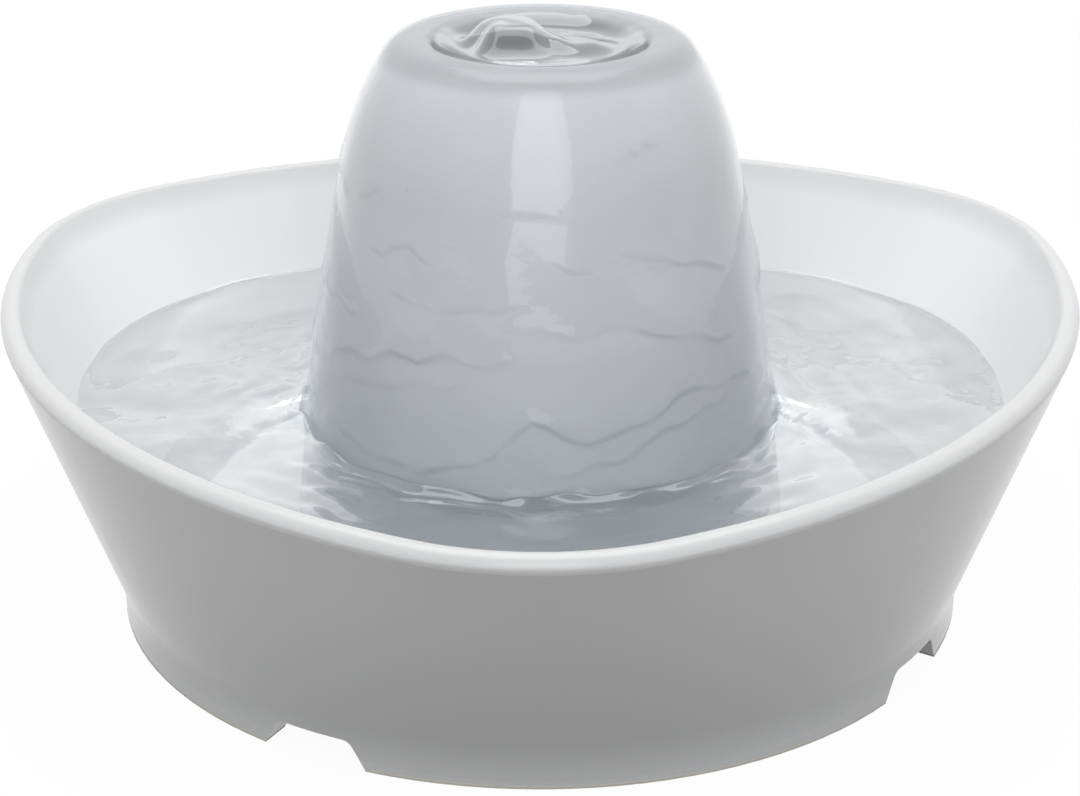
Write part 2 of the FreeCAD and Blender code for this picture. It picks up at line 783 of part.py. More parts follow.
def makeIntakeCover():
    """Box-shaped grille over the intake, slotted on both sides of the dial's stem."""
    wall = size.intakeWall
    outer = block("IntakeBlock", (pumpLeft, pumpRight), (intakeFront, coverFront), (pumpLow, pumpTop))
    inner = block("IntakeRoom", (pumpLeft + wall, pumpRight - wall), (intakeFront + wall, coverFront),
                  (pumpLow + wall, pumpTop - wall))
    wallY = (intakeFront, intakeFront + wall)
    tools = [inner, rod("StemHole", size.stemRadius + size.runningGap, wallY, **onAxis)]
    clear = size.knobRadius + wall
    leftX, rightX = (pumpLeft - wall, -size.axisAside - clear), (-size.axisAside + clear, pumpRight + wall)
    pitch = size.grilleSlot * 2
    count = int((size.pumpHigh.value - 4 * wall.value) / pitch.value)
    low = pumpLow + (size.pumpHigh - pitch * (count - 0.5)) / 2
    for index in range(count):
        z = (low + pitch * index, low + pitch * index + size.grilleSlot)
        tools.append(block(f"SlotLeft{index}", leftX, wallY, z))
        tools.append(block(f"SlotRight{index}", rightX, wallY, z))
    return cutFrom("intake_cover", outer, tools)


def makeFlowDial():
    """Knob, stem and half-moon shutter in front of the intake eye."""
    shutterRear = coverFront - size.coverThick / 2 - size.dialGap
    shutterY = (shutterRear - size.intakeWall, shutterRear)
    knobY = (intakeFront - size.slipGap - size.knobDeep, intakeFront - size.slipGap)
    stem = rod("Stem", size.stemRadius, (knobY[1], shutterY[1]), **onAxis)
    knob = rod("Knob", size.knobRadius, knobY, **onAxis)
    disc = rod("ShutterDisc", size.eyeRadius + size.bladeThick, shutterY, **onAxis)
    wide = size.eyeRadius * 2
    half = block("ShutterHalf", (-size.axisAside - wide, -size.axisAside + wide), shutterY,
                 (size.axisLevel, size.axisLevel + wide))
    shutter = doc.addObject("Part::Common", "Shutter")
    shutter.Base = disc
    shutter.Tool = half
    solid = fused("DialSolid", [stem, knob, shutter])
    gripY = (knobY[0], knobY[0] + size.gripDeep)
    gripZ = (size.axisLevel - size.knobRadius, size.axisLevel + size.knobRadius)
    grips = []
    for side in (-1, 1):
        edge = -size.axisAside + side * (size.bladeThick / 2)
        far = -size.axisAside + side * size.knobRadius
        grips.append(block(f"Grip{side}", (edge, far) if side > 0 else (far, edge), gripY, gripZ))
    return cutFrom("flow_dial", solid, grips)


def makeSuctionCups():
    """Four rubber cups under the pump, each with a stud pushed into the pump's base."""
    cups = []
    for index, (x, y) in enumerate(cupPlaces()):
        foot = doc.addObject("Part::Cone", f"CupFoot{index}")
        bind(foot, "Radius1", size.cupRadius)
        bind(foot, "Radius2", size.cupNeck)
        bind(foot, "Height", size.cupFlare)
        place(foot, x, y, onFloor)
        neck = rod(f"CupNeck{index}", size.cupNeck, (onFloor + size.cupFlare, pumpLow), x=x, y=y)
        studTop = pumpLow + size.cupStudLong - size.snugGap
        stud = rod(f"CupStud{index}", size.cupStud, (pumpLow, studTop), x=x, y=y)
        cups.append(fused(f"Cup{index}", [foot, neck, stud]))
    group = doc.addObject("Part::Compound", "suction_cups")
    group.Links = cups
    return group


def makeLead():
    """The pump's own lead: straight out, one bend, and down through the floor plug."""
    level = size.leadLevel
    flatX = (roomX[1], leadX - size.leadBend)
    flat = rod("LeadFlat", size.leadRadius, flatX, y=size.leadBack, z=level, along="x")
    drop = rod("LeadDrop", size.leadRadius, (plugLow, level - size.leadBend), x=leadX, y=size.leadBack)
    bend = doc.addObject("Part::Torus", "LeadBend")
    bind(bend, "Radius1", size.leadBend)
    bind(bend, "Radius2", size.leadRadius)
    bend.Angle3 = 90
    bend.Placement = Placement(Vector(0, 0, 0), Rotation(Vector(1, 0, 0), 90))
    place(bend, leadX - size.leadBend, size.leadBack, level - size.leadBend)
    lead = fused("pump_lead", [flat, drop, bend])
    glandX = (pumpRight, pumpRight + size.leadRadius * 2)
    onLead = {"y": size.leadBack, "z": level, "along": "x"}
    sleeve = rod("GlandSleeve", size.leadRadius * 2, glandX, **onLead)
    bore = rod("GlandBore", size.leadRadius + size.snugGap, glandX, **onLead)
    return [lead, cutFrom("lead_gland", sleeve, [bore])]


plugLow = size.bowlFloorTop - size.bowlFloorThick - size.plugLip


def makeFloorPlug():
    """Rubber stopper in the bowl floor, lipped on both faces, with the lead through it."""
    bore = size.leadRadius + size.snugGap
    body = size.plugBody - size.snugGap
    under = size.bowlFloorTop - size.bowlFloorThick
    return turned("floor_plug", [
        (bore, plugLow), (size.plugHead, plugLow), (size.plugHead, under), (body, under),
        (body, size.bowlFloorTop), (size.plugHead, size.bowlFloorTop),
        (size.plugHead, size.bowlFloorTop + size.plugLip), (bore, size.bowlFloorTop + size.plugLip),
    ], x=leadX, y=size.leadBack)


def makeInlet():
    """Low power inlet under the floor: a round socket with a centre pin and a spring contact."""
    low = plugLow - size.inletHigh
    middle = low + size.inletHigh / 2
    rear = size.leadBack - size.plugHead
    mouth = rear + size.inletLong
    bottom = size.leadBack + size.inletPin
    x = (leadX - size.inletWide / 2, leadX + size.inletWide / 2)
    case = block("InletBlock", x, (rear, mouth), (low, plugLow))
    pinRear = bottom - size.pumpWall
    leafLow = middle - size.inletBore - size.leafThick
    leafX = (leadX - size.inletPin, leadX + size.inletPin)
    inlet = cutFrom("power_inlet", case, [
        rod("InletBore", size.inletBore, (bottom, mouth), x=leadX, z=middle, along="y"),
        rod("PinHole", size.inletPin + size.snugGap, (pinRear, mouth), x=leadX, z=middle, along="y"),
        block("LeafSlot", grown(leafX, size.snugGap), (bottom, mouth), (leafLow, middle)),
    ])
    pin = rod("inlet_pin", size.inletPin, (pinRear, mouth - size.inletPin), x=leadX, z=middle, along="y")
    leafZ = (leafLow, leafLow + size.leafThick)
    leaf = block("inlet_contact", leafX, (bottom, mouth - size.inletPin), leafZ)
    return [inlet, pin, leaf]


def makeRiser():
    """Clear tube that pushes over the pump's outlet and ends just above the dish."""
    inner = size.spigotRadius + size.snugGap
    shelf = pumpTop + size.socketDepth + size.snugGap
    riser = turned("riser_tube", [
        (inner, pumpTop), (size.riserRadius, pumpTop), (size.riserRadius, (wellFloor + size.riserProud)),
        (size.riserBore, (wellFloor + size.riserProud)), (size.riserBore, shelf), (inner, shelf)])
    under = wellFloor - size.towerWall
    bore = size.riserRadius + size.slipGap
    body = size.orificeRadius - size.snugGap
    gasket = turned("tower_gasket", [
        (bore, under - size.gasketLip), (size.gasketFlange, under - size.gasketLip),
        (size.gasketFlange, under), (body, under), (body, wellFloor),
        (size.gasketFlange, wellFloor), (size.gasketFlange, wellFloor + size.gasketLip),
        (bore, wellFloor + size.gasketLip)])
    return [riser, gasket]


cartX = (-size.axisAside - size.cartridgeWide / 2, -size.axisAside + size.cartridgeWide / 2)
cartRear = intakeFront - size.slipGap - size.knobDeep - size.knobClear
cartY = (cartRear - size.cartridgeDeep, cartRear)
cartZ = (onFloor + size.slipGap, onFloor + size.slipGap + size.cartridgeHigh)


def makeBasket():
    """Slotted basket round the pump, with two upright rails for the carbon cartridge."""
    inside = size.basketRadius - size.basketWall
    body = turned("pump_basket", [
        (0, size.bowlFloorTop), (size.basketRadius, size.bowlFloorTop), (size.basketRadius, size.basketTop),
        (inside, size.basketTop), (inside, onFloor), (0, onFloor)])
    slot = newSketch(body, "SlotSketch", "YZ_Plane")
    half = size.slotWide / 2
    outline(slot, [(-half, size.slotLow), (half, size.slotLow),
                   (half, size.slotLow + size.slotHigh), (-half, size.slotLow + size.slotHigh)])
    pocket = pocketFrom(body, "Slot", slot, cutReach, reverse=True)
    repeatRound(body, pocket, "Slots", size.basketSlots)
    hole = circleSketch(body, "PlugClearance", size.bowlFloorTop, size.plugHead + size.slipGap,
                        x=leadX, y=size.leadBack)
    pocketFrom(body, "PlugClearancePocket", hole, size.basketFloor, reverse=True)
    gap, wall, lip = size.slipGap, size.basketWall, size.cartridgeRim
    for side, edge in ((-1, cartX[0]), (1, cartX[1])):
        rail = newSketch(body, f"RailSketch{side}", level=onFloor)
        web = edge + side * gap
        front, back = cartY[0] - gap, cartY[1] + gap
        corners = [(web - side * lip, front - wall), (web + side * wall, front - wall),
                   (web + side * wall, back + wall), (web - side * lip, back + wall),
                   (web - side * lip, back), (web, back), (web, front), (web - side * lip, front)]
        outline(rail, corners)
        padFrom(body, f"Rail{side}", rail, size.cartridgeHigh)
    return body


def makeCartridge():
    """Carbon cartridge: an open tray with a pull tab, its carbon pad, and a grille that snaps in."""
    rim, gap = size.cartridgeRim, size.snugGap
    insideX, insideZ = grown(cartX, -rim), grown(cartZ, -rim)
    backWall = cartY[1] - size.basketWall
    grilleY = (cartY[0], cartY[0] + size.bladeThick)
    tab = block("PullTab", (-size.axisAside - size.knobRadius, -size.axisAside + size.knobRadius),
                (cartY[0] + rim, cartY[1] - size.basketWall), (cartZ[1], cartZ[1] + size.tabHigh))
    tray = fused("TraySolid", [block("TrayBlock", cartX, cartY, cartZ), tab])

    def slots(name, y):
        """Upright slots across the inside width."""
        count = int(size.cartridgeSlots.value)
        pitch = (size.cartridgeWide - rim * 2) / size.cartridgeSlots
        start = insideX[0] + pitch / 4
        return [block(f"{name}{i}", (start + pitch * i, start + pitch * i + pitch / 2), y,
                      grown(insideZ, -rim)) for i in range(count)]

    frame = cutFrom("cartridge_frame", tray, [block("TrayRoom", insideX, (cartY[0], backWall), insideZ)]
                    + slots("BackSlot", (backWall, cartY[1])))
    pad = block("carbon_pad", grown(insideX, -gap), (grilleY[1], backWall), grown(insideZ, -gap))
    plate = block("GrilleBlock", grown(insideX, -gap), grilleY, grown(insideZ, -gap))
    grille = cutFrom("cartridge_grille", plate, slots("GrilleSlot", grilleY))
    return [frame, pad, grille]


def makeFoam():
    outer = size.basketRadius - size.basketWall - size.snugGap * 2
    return tube("foam_filter", outer, outer - size.foamThick, onFloor, onFloor + size.foamHigh)


nodes = [makeBowl(), makeTower(), makePumpBody(), makePotting(), makeVoluteCover(), makeIntakeCover(),
         makeFlowDial(), makeSuctionCups(), makeFloorPlug(), makeBasket(), makeFoam()]
nodes += makeStator() + makeRotor() + makeLead() + makeInlet() + makeRiser() + makeCartridge()


# The frame's origin is the middle of the whole object's base, a little ahead of the tower's axis
def rimReach(reachAtTop):
    """How far the rounded rim stands out, from the reach of its unrounded edge."""
    lean = (reachAtTop - size.footRadius) / (size.rimTop - size.footBand)
    return reachAtTop - size.rimRound * (lean + root(lean * lean + 1) - 1)


forward = keep("forward", (rimReach(size.cornerCentre + size.cornerRadius)
                           - rimReach(size.sideRadius - sideCentre)) / 2)
for node in nodes:
    bind(node, "Placement.Base.y", forward + placedY.get(node.Name, 0))
doc.recompute()

# Nothing is written unless every object recomputed and every piece is a sound solid
for thing in doc.Objects:
    if "Invalid" in thing.State or "Error" in thing.State:
        raise RuntimeError(f"{thing.Label} failed: {thing.State}")
for node in nodes:
    shape = node.Shape
    if shape.isNull() or not shape.isValid() or not shape.Solids:
        raise RuntimeError(f"{node.Label} is not a sound solid")
for node in nodes:
    node.Shape.exportStep(f"parts/{node.Label}.step")
    box = node.Shape.optimalBoundingBox()
    print(f"{node.Label:18s} {len(node.Shape.Solids)} solid(s) {node.Shape.Volume / 1000:9.3f} cm3 "
          f"x {box.XMin:.1f}..{box.XMax:.1f} y {box.YMin:.1f}..{box.YMax:.1f} "
          f"z {box.ZMin:.1f}..{box.ZMax:.1f}")
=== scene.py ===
import math

import bpy
import numpy as np
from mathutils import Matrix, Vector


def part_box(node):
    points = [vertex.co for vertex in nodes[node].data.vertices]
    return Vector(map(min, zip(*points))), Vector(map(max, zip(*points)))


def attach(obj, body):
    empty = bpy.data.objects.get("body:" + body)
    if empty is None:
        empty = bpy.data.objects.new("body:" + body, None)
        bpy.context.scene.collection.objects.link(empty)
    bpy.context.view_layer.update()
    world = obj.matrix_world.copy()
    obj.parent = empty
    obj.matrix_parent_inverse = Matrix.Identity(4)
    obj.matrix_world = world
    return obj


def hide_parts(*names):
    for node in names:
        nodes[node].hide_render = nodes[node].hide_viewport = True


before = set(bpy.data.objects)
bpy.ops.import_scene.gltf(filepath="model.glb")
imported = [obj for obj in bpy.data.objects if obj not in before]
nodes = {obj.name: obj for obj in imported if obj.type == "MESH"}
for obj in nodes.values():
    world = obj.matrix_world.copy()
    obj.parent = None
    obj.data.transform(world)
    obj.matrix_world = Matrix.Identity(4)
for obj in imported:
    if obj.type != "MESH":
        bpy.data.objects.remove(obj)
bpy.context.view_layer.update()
mm = 0.001
axisBehind = 9.293      # mm from the frame's origin back to the tower's axis
print("frame loaded:", len(nodes), "nodes")


# closed surfaces out of rows of points

def gridPiece(name, points, poleFirst=None, poleLast=None, ring=False, marks=None):
    # a closed surface: rows of points run round the piece, each row joined to the next one; poles close its
    # ends, or ring joins the last row to the first; points come in mm from the tower's axis, and marks are
    # values on the points that a finish can read
    rows, columns = points.shape[:2]
    index = np.arange(rows * columns).reshape(rows, columns)
    beside = np.roll(index, -1, axis=1)
    below = np.roll(index, -1, axis=0)
    diagonal = np.roll(beside, -1, axis=0)
    faces = np.stack([index, below, diagonal, beside], axis=-1)
    if not ring:
        faces = faces[:-1]
    faces = faces.reshape(-1, 4).tolist()
    vertices = points.reshape(-1, 3)
    for pole, first, second in ((poleFirst, index[0], beside[0]), (poleLast, beside[-1], index[-1])):
        if pole is not None:
            tip = np.full(columns, len(vertices))
            faces += np.stack([tip, first, second], axis=-1).tolist()
            vertices = np.vstack([vertices, [pole]])
    vertices = vertices + np.array([0.0, axisBehind, 0.0])
    mesh = bpy.data.meshes.new(name)
    mesh.from_pydata((vertices * mm).tolist(), [], faces)
    mesh.polygons.foreach_set("use_smooth", np.ones(len(faces), dtype=bool))
    mesh.update()
    if marks is not None:
        values = np.zeros(len(vertices), dtype=np.float32)
        values[:marks.size] = marks.ravel()
        mesh.attributes.new("marks", "FLOAT", "POINT").data.foreach_set("value", values)
    piece = bpy.data.objects.new(name, mesh)
    bpy.context.scene.collection.objects.link(piece)
    return piece


def harmonics(angle, seed, lowest, highest):
    # an uneven wave round the axis, from about -1 to 1: cosines of whole numbers of turns, with random sizes
    # and phases, over their root mean square
    random = np.random.default_rng(seed)
    total = np.zeros_like(angle)
    power = 0.0
    for count in range(lowest, highest + 1):
        size = random.uniform(0.3, 1.0)
        total = total + size * np.cos(count * angle + random.uniform(0, 2 * math.pi))
        power += size * size / 2
    return total / math.sqrt(power) / 1.6


def crossingWaves(x, y, seed, count, shortest, longest, slope):
    # a choppy surface: cosines running every way, each with the same steepness, so long waves are higher
    random = np.random.default_rng(seed)
    total = np.zeros_like(x)
    for wave in range(count):
        heading = random.uniform(0, 2 * math.pi)
        length = shortest * (longest / shortest) ** random.uniform(0, 1)
        along = x * math.cos(heading) + y * math.sin(heading)
        across = y * math.cos(heading) - x * math.sin(heading)
        bend = 0.25 * length * np.cos(2 * math.pi * across / (2.3 * length) + random.uniform(0, 2 * math.pi))
        phase = 2 * math.pi * (along + bend) / length + random.uniform(0, 2 * math.pi)
        total = total + slope * length / (2 * math.pi) * np.cos(phase)
    return total / math.sqrt(count / 2)


def eased(value, low, high):
    # 0 below low, 1 above high, and a smooth climb between them
    share = np.clip((value - low) / (high - low), 0, 1)
    return share * share * (3 - 2 * share)


# materials out of nodes

class Wire:
    # a socket of a node tree; sums and products with it add Math nodes
    def __init__(self, finish, socket):
        self.finish = finish
        self.socket = socket

    def math(self, operation, first, second=0.0):
        return self.finish.node("ShaderNodeMath", {"operation": operation}, first, second).out()

    def __add__(self, other):
        return self.math("ADD", self, other)

    def __radd__(self, other):
        return self.math("ADD", other, self)

    def __sub__(self, other):
        return self.math("SUBTRACT", self, other)

    def __rsub__(self, other):
        return self.math("SUBTRACT", other, self)

    def __mul__(self, other):
        return self.math("MULTIPLY", self, other)

    def __rmul__(self, other):
        return self.math("MULTIPLY", other, self)

    def over(self, level, softness=0.05):
        # 0 where the value is well under level, 1 where it is well over
        ends = {"From Min": level - softness, "From Max": level + softness}
        eases = {"interpolation_type": "SMOOTHSTEP"}
        return self.finish.node("ShaderNodeMapRange", eases, Value=self, **ends).out()

    def within(self, low=0.0, high=1.0):
        return self.math("MINIMUM", self.math("MAXIMUM", self, low), high)


class Made:
    # a node that was added: its outputs come as wires
    def __init__(self, finish, node):
        self.finish = finish
        self.node = node

    def out(self, name=0):
        return Wire(self.finish, self.node.outputs[name])


class Finish:
    # one material with its node tree
    def __init__(self, name):
        self.material = bpy.data.materials.new(name)
        self.material.use_nodes = True
        self.tree = self.material.node_tree
        self.tree.nodes.clear()

    def node(self, kind, settings=None, *inputs, **named):
        # adds a node: its settings first, then the values or links of its sockets
        added = self.tree.nodes.new(kind)
        for setting, value in (settings or {}).items():
            setattr(added, setting, value)
        for key, value in [*enumerate(inputs), *named.items()]:
            socket = added.inputs[key]
            if isinstance(value, Wire):
                self.tree.links.new(value.socket, socket)
            elif socket.type == "RGBA" and len(value) == 3:
                socket.default_value = (*value, 1)
            else:
                socket.default_value = value
        return Made(self, added)

    def place(self, scale=(1, 1, 1)):
        # the piece's own coordinates in metres, or drawn together along an axis whose scale is over 1
        spot = self.node("ShaderNodeTexCoord").out("Object")
        if scale == (1, 1, 1):
            return spot
        return self.node("ShaderNodeMapping", {}, spot, Scale=scale).out()

    def height(self):
        # metres above the floor
        return self.node("ShaderNodeSeparateXYZ", {}, self.place()).out("Z")

    def reach(self):
        # metres from the tower's axis
        spot = self.node("ShaderNodeSeparateXYZ", {}, self.place())
        x, y = spot.out("X"), spot.out("Y") - axisBehind * mm
        return x.math("SQRT", x * x + y * y)

    def noise(self, size, detail=2.0, rough=0.5, place=None):
        # cloudy values about 0.5, in patches of about size metres
        made = self.node("ShaderNodeTexNoise", {}, Vector=place or self.place(), Scale=1 / size,
                         Detail=detail, Roughness=rough)
        return made.out()

    def cells(self, size):
        # the distance to the nearest cell centre, for cells of about size metres
        made = self.node("ShaderNodeTexVoronoi", {"feature": "F1"}, Vector=self.place(), Scale=1 / size)
        return made.out("Distance")

    def blend(self, share, first, second):
        # a colour between two, by a wire or number from 0 to 1
        made = self.node("ShaderNodeMix", {"data_type": "RGBA"}, Factor=share)
        for socket, value in ((made.node.inputs[6], first), (made.node.inputs[7], second)):
            if isinstance(value, Wire):
                self.tree.links.new(value.socket, socket)
            else:
                socket.default_value = (*value, 1)
        return made.out(2)

    def bump(self, height, depth, normal=None):
        # depth is in metres for a height that goes from 0 to 1
        inputs = {"Height": height, "Distance": depth, "Strength": 1.0}
        if normal:
            inputs["Normal"] = normal
        return self.node("ShaderNodeBump", {}, **inputs).out()

    def skin(self, **inputs):
        return self.node("ShaderNodeBsdfPrincipled", {}, **inputs).out()

    def done(self, shader):
        self.node("ShaderNodeOutputMaterial", {}, shader)
        return self.material


def dress(piece, material):
    # the piece has this one material all over
    piece.data.materials.clear()
    piece.data.materials.append(material)


# camera, lamps, surround and floor

studio = {
    "cameraPlace": (0.0, -0.5692, 0.2936),
    "cameraDown": 22.71,            # degrees below the horizon
    "lens": 77.5,
    "sensor": 36.0,
    "nearest": 0.01,
    "topPlace": (0.0, 0.25, 1.15),
    "topSize": (1.0, 0.9),
    "topPower": 4.2,
    "topTarget": (0, 0.02, 0.05),
    "frontPlace": (0.0, -1.75, 1.22),
    "frontSize": (1.02, 2.05),
    "frontPower": 11.0,
    "skyLow": (0.27, 0.272, 0.277),         # the light of the dim walls round the object
    "skyHigh": (1.42, 1.43, 1.45),          # and of the bright ceiling
    "roomGrey": (0.40, 0.405, 0.415),       # the grey room in front, as gloss and water mirror it
    "roomEnds": -0.15,              # how far back that room reaches, as a share of the way
    "roomBlur": 0.35,
    "floorGrey": (0.11, 0.112, 0.118),
    "floorSeen": (0.90, 0.90, 0.90),
    "floorWhite": 0.95,             # how much of the floor's look is plain white
    "floorReach": 6.0,
}


def makeLamp(name, place, size, power, target):
    # an oblong softbox at a place, turned to its target
    lamp = bpy.data.lights.new(name, "AREA")
    lamp.shape = "RECTANGLE"
    lamp.size, lamp.size_y = size
    lamp.energy = power
    holder = bpy.data.objects.new(name, lamp)
    bpy.context.scene.collection.objects.link(holder)
    holder.location = place
    aim = [goal - start for goal, start in zip(target, place)]
    tilt = math.atan2(math.hypot(aim[0], aim[1]), -aim[2])
    holder.rotation_euler = (tilt, 0, -math.atan2(aim[0], aim[1]))


def seenRays(finish):
    # 1 for what the camera sees, straight or in a mirror or through clear things
    ways = finish.node("ShaderNodeLightPath")
    seen = ways.out("Is Camera Ray") + ways.out("Is Glossy Ray") + ways.out("Is Transmission Ray")
    return seen.within()


def makeStage():
    scene = bpy.context.scene
    scene.view_settings.view_transform = "Standard"
    cameraData = bpy.data.cameras.new("camera")
    cameraData.lens = studio["lens"]
    cameraData.sensor_width = studio["sensor"]
    cameraData.clip_start = studio["nearest"]
    camera = bpy.data.objects.new("camera", cameraData)
    scene.collection.objects.link(camera)
    camera.location = studio["cameraPlace"]
    camera.rotation_euler = (math.radians(90 - studio["cameraDown"]), 0, 0)
    scene.camera = camera

    makeLamp("topSoftbox", studio["topPlace"], studio["topSize"], studio["topPower"], studio["topTarget"])
    front = studio["frontPlace"]
    makeLamp("frontSoftbox", front, studio["frontSize"], studio["frontPower"], (0, 0, front[2]))

    world = bpy.data.worlds.new("studioWorld")
    scene.world = world
    world.use_nodes = True
    surround = Finish("surround")
    surround.tree = world.node_tree
    surround.tree.nodes.clear()
    way = surround.node("ShaderNodeTexCoord").out("Generated")
    heading = surround.node("ShaderNodeSeparateXYZ", {}, way)
    behind = heading.out("Y").over(studio["roomEnds"], studio["roomBlur"])
    sky = surround.blend(heading.out("Z").within(), studio["skyLow"], studio["skyHigh"])
    seenColour = surround.blend(behind, studio["roomGrey"], (1, 1, 1))
    mirrored = surround.node("ShaderNodeLightPath").out("Is Camera Ray")
    seenColour = surround.blend(mirrored, seenColour, (1, 1, 1))
    colour = surround.blend(seenRays(surround), sky, seenColour)
    glow = surround.node("ShaderNodeBackground", {}, colour).out()
    surround.node("ShaderNodeOutputWorld", {}, glow)
    bpy.data.materials.remove(surround.material)

    floorMesh = bpy.data.meshes.new("floor")
    reach = studio["floorReach"]
    corners = [(-reach, -reach, 0), (reach, -reach, 0), (reach, reach, 0), (-reach, reach, 0)]
    floorMesh.from_pydata(corners, [], [(0, 1, 2, 3)])
    floor = bpy.data.objects.new("floor", floorMesh)
    scene.collection.objects.link(floor)
    pale = Finish("paleFloor")
    seen = seenRays(pale)
    grey = pale.blend(seen, studio["floorGrey"], studio["floorSeen"])
    plain = pale.node("ShaderNodeBsdfDiffuse", {}, grey).out()
    white = pale.node("ShaderNodeEmission", {}, (1, 1, 1)).out()
    share = seen * studio["floorWhite"]
    dress(floor, pale.done(pale.node("ShaderNodeMixShader", {}, share, plain, white).out()))


makeStage()
print("stage ready")


# the glaze of the two ceramic shells

glaze = {
    "bowlColour": (0.69, 0.69, 0.686),
    "bowlThin": (0.67, 0.666, 0.655),
    # painted light: a lighter colour on the bowl's upward faces inside it, for the light reaching its inner
    # wall and floor
    "bowlInsidePaintedLight": (0.755, 0.757, 0.757),
    "bowlFootShade": (0.575, 0.577, 0.578),       # painted shade: the outer wall is darker towards its foot, where less light reaches it
    # painted shade: a darker colour on the rim's upward top, to hold down the light from above
    "bowlRimShade": (0.57, 0.57, 0.568),
    "towerColour": (0.775, 0.78, 0.785),
    "towerThin": (0.75, 0.757, 0.765),
    "towerFoot": (0.495, 0.510, 0.540),     # painted shade: the tower darker and greyer down towards the pool, where the bowl holds off the light, and bluer for the water's own tint there
    "towerFootLevel": 0.045,        # levels and radii of the glaze are in metres
    "towerFadeTop": 0.132,
    # painted shade: a darker colour on the tower's top, to hold down the light falling on it from above
    "towerCapShade": (0.43, 0.433, 0.44),
    "capLevel": 0.1475,
    # painted shade: a darker colour inside the well, a recess
    "towerWellShade": (0.37, 0.375, 0.382),
    "wellRadius": 0.0285,
    "towerBare": 0.0163,            # the level of the tower's unglazed edge
    "bowlLowLevel": 0.042,
    "bowlLowBlur": 0.034,
    "rimLevel": 0.076,
    "cloud": 0.045,                 # size of the clouds in its colour
    "pinhole": (0.5, 0.47, 0.42),
    "pinholeApart": 0.011,
    "pinholeShare": 0.12,
    "pinholeDeep": 0.00006,
    "bareClay": (0.66, 0.62, 0.55),
    "clayGrain": 0.0009,
    "clayRough": 0.0002,
    "roughness": 0.13,
    "peel": 0.00005,                # depth of the glaze's orange peel
    "peelSize": 0.006,
    "peelFine": 0.0016,
    "bareUnder": 0.0007,            # how far up the foot the glaze ends
}


def glazeFinish(name, colour, thin, footLevel, onTower=False):
    # cloudy glaze with pinholes and orange peel, over a bare clay foot; the tower has painted shade towards
    # its foot (with the water's bluer tint there), on its cap and in its well, and the bowl has painted light
    # on its upward faces inside and painted shade on its rim's top and its low outer wall
    finish = Finish(name)
    cloud = finish.noise(glaze["cloud"], 3.0, 0.55)
    tint = finish.blend(cloud.over(0.5, 0.25), colour, thin)
    if onTower:
        middle = (glaze["towerFootLevel"] + glaze["towerFadeTop"]) / 2
        reach = (glaze["towerFadeTop"] - glaze["towerFootLevel"]) / 2
        # painted shade: the tower darker towards its foot, with the water's bluer tint there
        lower = 1 - (finish.height() + cloud * 0.02 - 0.01).over(middle, reach)
        tint = finish.blend(lower, tint, glaze["towerFoot"])
        # painted shade on the tower's top
        tint = finish.blend(finish.height().over(glaze["capLevel"], 0.003), tint, glaze["towerCapShade"])
        # painted shade inside the well
        inWell = 1 - finish.reach().over(glaze["wellRadius"], 0.0012)
        tint = finish.blend(inWell, tint, glaze["towerWellShade"])
    else:
        normal = finish.node("ShaderNodeTexCoord").out("Normal")
        upward = finish.node("ShaderNodeSeparateXYZ", {}, normal).out("Z")
        # painted shade low on the outer wall
        lower = 1 - (finish.height() + cloud * 0.01).over(glaze["bowlLowLevel"], glaze["bowlLowBlur"])
        tint = finish.blend(lower, tint, glaze["bowlFootShade"])
        # painted light on the faces that look upward
        tint = finish.blend(upward.over(0.08, 0.12), tint, glaze["bowlInsidePaintedLight"])
        # painted shade on the rim's top
        onRim = upward.over(0.5, 0.4) * finish.height().over(glaze["rimLevel"], 0.003)
        tint = finish.blend(onRim, tint, glaze["bowlRimShade"])
    pinholes = 1 - finish.cells(glaze["pinholeApart"]).over(0.035, 0.02)
    bare = 1 - finish.height().over(footLevel + glaze["bareUnder"], 0.0002)
    grain = finish.noise(glaze["clayGrain"], 3.0, 0.7)
    clay = finish.blend(grain, glaze["bareClay"], tuple(value * 0.85 for value in glaze["bareClay"]))
    tint = finish.blend(bare, finish.blend(pinholes * glaze["pinholeShare"], tint, glaze["pinhole"]), clay)
    peel = finish.noise(glaze["peelSize"], 2.0, 0.5) + finish.noise(glaze["peelFine"], 1.0) * 0.12
    surface = finish.bump(peel, glaze["peel"])
    surface = finish.bump(pinholes * -1, glaze["pinholeDeep"], surface)
    surface = finish.bump(grain * bare, glaze["clayRough"], surface)
    rough = bare * 0.7 + cloud * 0.06 + glaze["roughness"]
    shader = finish.skin(**{"Base Color": tint, "Roughness": rough, "Normal": surface, "IOR": 1.5})
    return finish.done(shader)


dress(nodes["bowl"], glazeFinish("bowlGlaze", glaze["bowlColour"], glaze["bowlThin"], 0.0))
dress(nodes["tower"], glazeFinish("towerGlaze", glaze["towerColour"], glaze["towerThin"], glaze["towerBare"],
                                  onTower=True))
print("glaze ready")


# the pool, and the film that runs down the tower

bowlShape = {
    "cornerOut": 87.8,      # corner arc centres at the rim, from the axis
    "cornerArc": 63.9,      # inner corner radius at the rim
    "sideMore": 131.1,      # how much larger the side arcs are
    "sideBack": 62.9,       # side arc centres, behind the axis
    "cornerHalf": 24.6,     # degrees each side of a corner that its arc covers
    "floorArc": 107.5,      # inner wall radius carried down to the floor
    "floor": 16.0,
    "rim": 81.0,
    "cove": 13.0,           # how far the cove reaches in along the floor
    "coveUp": 12.0,
}

